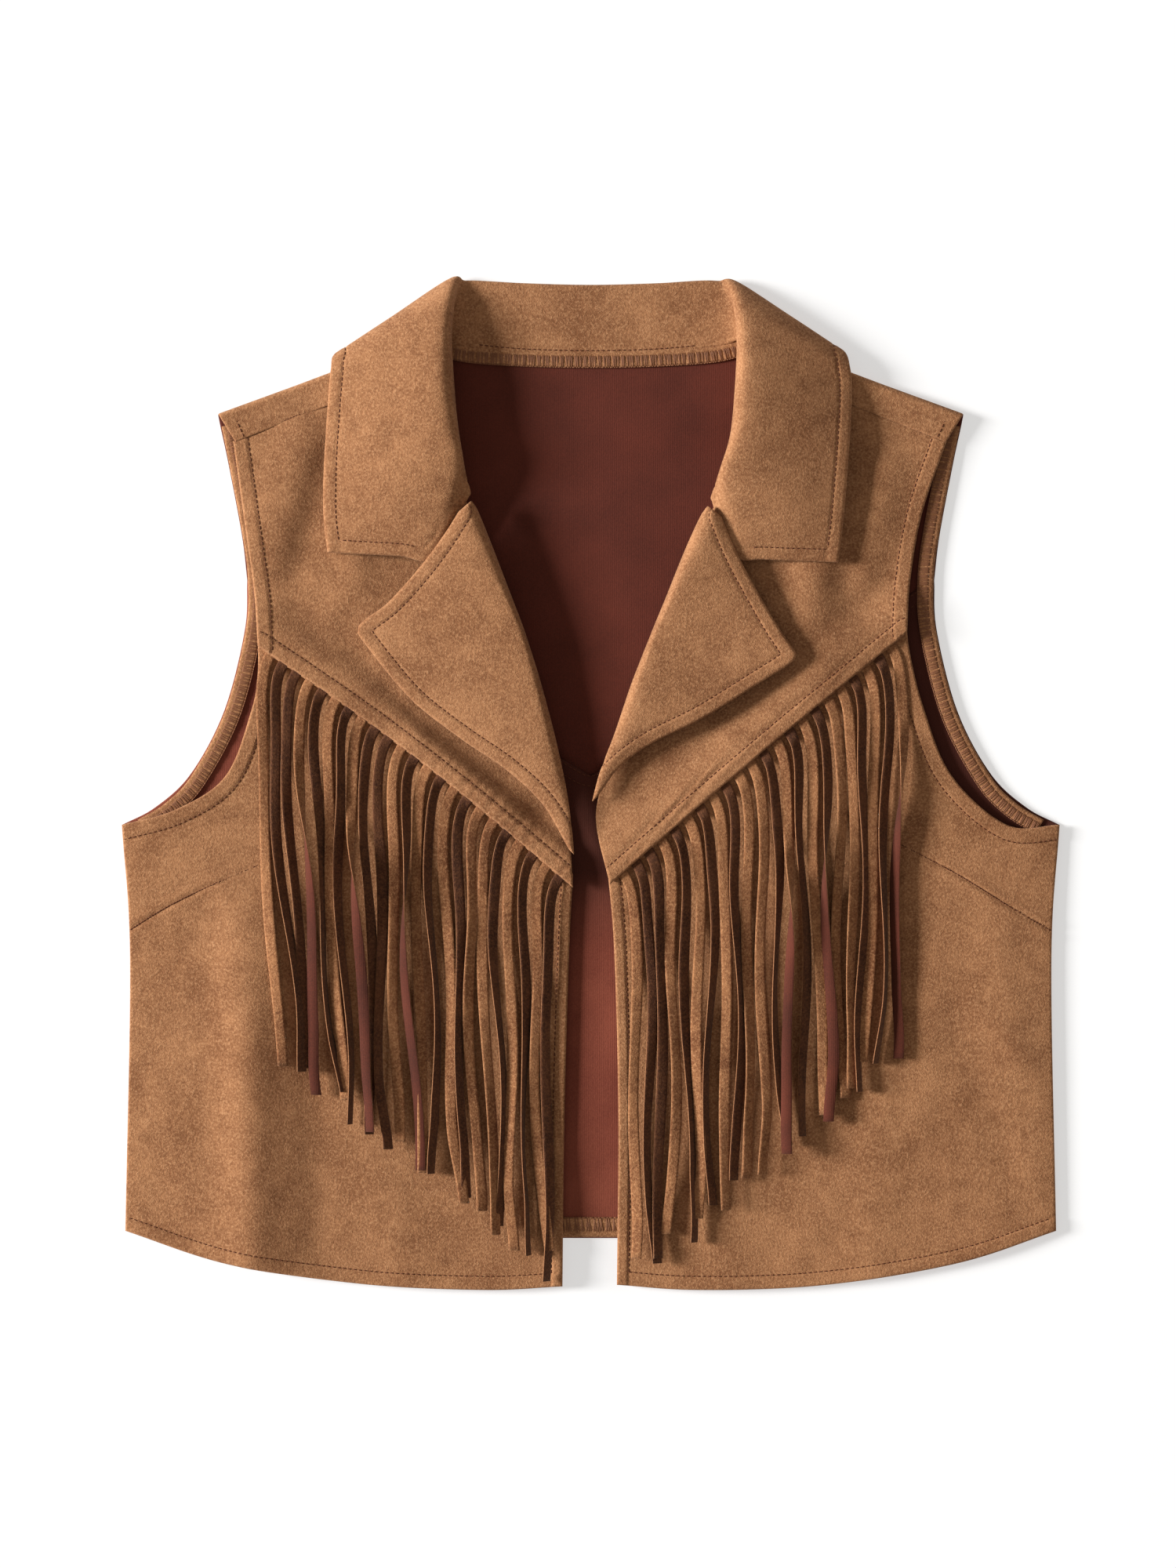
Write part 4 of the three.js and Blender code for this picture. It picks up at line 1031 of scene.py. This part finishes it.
collar_back = [
    [(66, 222.8, 4.0), (63, 249.6, 3.3), (62, 255.6, 2.1),
     (65, 251, 0.9), (93, 230, 0.9), (118, 210.5, 0.9)],
    [(36, 219.6, 3.7), (33.6, 248.6, 3.2), (33, 254.2, 2.05),
     (34, 249, 0.9), (42, 224, 0.9), (52, 196, 0.9)],
    [(0, 218.6, 3.7), (0, 247.8, 3.2), (0, 253.4, 2.05), (0, 248.2, 0.9), (0, 220, 0.9), (0, 192, 0.9)],
]
mirrored_back = [[(-x, y, z) for x, y, z in section] for section in collar_back]
collar_sections = collar_front["left"] + mirrored_back + collar_back[-2::-1] + collar_front["right"][::-1]


def lofted(sections, u, v):
    """A smooth sheet through sections, each a list of as many points."""
    lines = through(np.array(sections, float))(u)
    return through(lines.transpose(1, 0, 2))(v).transpose(1, 0, 2)


u, v = threads_across(560, 3.0), threads_across(115, 1.7)
middle = lofted(collar_sections, u, v)
middle[..., 2] = np.maximum(middle[..., 2], doubled / 2)
relief = np.zeros(middle.shape[:2])
for edge in (middle[:, -1], middle[0], middle[-1]):
    relief += turned_edge(distance_to(middle, edge[::2]), collar_stitch, puff=0.2, groove=0.45)
relief += turned_edge(distance_to(middle, middle[:, 0][::2]), 2.0, puff=0.1, groove=0.3)
relief *= smooth((middle[..., 2] - 2.0) / 2.0 + (v[None] < 0.35))
collar, upper = cloth("collar_round_neck", middle, relief, doubled, suede, suede, rounding=1.6)
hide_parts("collar")
stitch(inset_line(upper, "top", collar_stitch, beside=[("left", collar_stitch), ("right", collar_stitch)]))
for end in ("left", "right"):
    stitch(inset_line(upper, end, collar_stitch, beside=[("top", collar_stitch)], along=(0.69, 1)))
stitch(inset_line(upper, "bottom", 2.0, along=(0.42, 0.58)))


# The lapels are the tops of the fronts, two layers turned back along a soft fold. They lie over the
# collar's ends, and are stitched 6.8 mm inside their outer edges.
lapels = {
    # fold x and y, outer edge x and y, height of the foot, of the crest and of the edge
    "left": [
        (-8.6, -36, -11, -33.5, 9, 9.1, 9), (-11.2, -12, -24.5, -10.5, 8.8, 10.4, 9.2),
        (-15.2, 9, -43, 7, 7.2, 11.6, 9.2), (-20.2, 30, -66, 22.8, 6.2, 12.8, 9),
        (-26.6, 53.5, -92, 43.4, 6.2, 13.8, 8.8), (-32.4, 72, -115.5, 72, 6.2, 14.6, 8.4),
        (-34.2, 77.5, -118.4, 78, 6.2, 14.8, 8.4), (-36.2, 83, -115.4, 83, 6.2, 15, 8.6),
        (-41.6, 97, -102.6, 92.6, 6.4, 15.6, 9.6), (-50.6, 120.5, -86, 111, 7.4, 16.4, 12.8),
        (-57.6, 138, -74, 127, 10, 16.6, 14.4), (-60.8, 143.4, -67, 138, 14.4, 16, 15),
    ],
    "right": [
        (1, -9, 3.4, -6.6, 8.6, 8.8, 8.7), (5.8, 7.5, 14.5, 8.2, 7.8, 9.8, 9),
        (12.8, 26, 31, 20.5, 6.6, 11.6, 9.8), (20.8, 49.5, 57, 33.4, 6.2, 13.4, 11.4),
        (26.4, 64, 84, 50, 6.2, 14, 13.2), (29.2, 71, 100.4, 60.4, 6.2, 14.2, 14.2),
        (31.2, 76, 104.2, 65.2, 6.2, 14.4, 14.4), (33.2, 81, 101.4, 70.4, 6.2, 14.6, 14.4),
        (39, 95, 92.8, 83.4, 6.4, 15.4, 14), (47.6, 116.5, 79, 107.8, 7.4, 16.4, 13.4),
        (55.6, 134.4, 71, 124, 10, 16.6, 14.4), (59.6, 140.8, 66.4, 135.4, 14.4, 16, 15),
    ],
}
lapel_roll = 6.0
lapel_stitch = 6.8
lapel_cuts = {"left": ((0.115, 0.185), 0.0086), "right": ((0.105, 0.155), 0.0064)}


def lapel_section(fold_x, fold_y, outer_x, outer_y, foot, crest, edge):
    """Up round the fold, over the crest and down to the outer edge."""
    width = math.hypot(outer_x - fold_x, outer_y - fold_y)
    roll = min(lapel_roll, width / 3)
    profile = [(0, foot), (roll * 0.25, foot + (crest - foot) * 0.75), (roll, crest),
               (roll + (width - roll) * 0.5, edge + (crest - edge) * 0.62), (width, edge)]
    step_x, step_y = (outer_x - fold_x) / width, (outer_y - fold_y) / width
    return [(fold_x + step_x * d, fold_y + step_y * d, z) for d, z in profile]


for side in ("left", "right"):
    sections = [lapel_section(*row) for row in lapels[side]]
    u, v = threads_across(230, 1.7), threads_across(85, 1.3)
    middle = lofted(sections, u, v)
    relief = turned_edge(distance_to(middle, middle[:, -1]), lapel_stitch, puff=0.2, groove=0.45)
    if square_to(middle)[len(u) // 2, len(v) // 2, 2] < 0:
        middle, relief = middle[::-1], relief[::-1]
    lapel, upper = cloth(f"lapel_turned_back_{side}", middle, relief, doubled, suede, suede, rounding=1.6)
    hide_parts(f"lapel_{side}")
    cut, area = lapel_cuts[side]
    stitch(inset_line(upper, "top", lapel_stitch))


# All the topstitching is one thread, in stitches 2.7 mm apart that sink into the cloth. The darts and
# the shoulder seams show the same thread down in the seam.
thread = sewing_thread("sewing_thread", colour(72, 36, 20), colour(108, 60, 36))
topstitching = sewn("topstitching", np.concatenate(stitch_starts + ditch_starts),
                    np.concatenate(stitch_ends + ditch_ends), radius=0.3, sink=0.3, material=thread)

low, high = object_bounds()
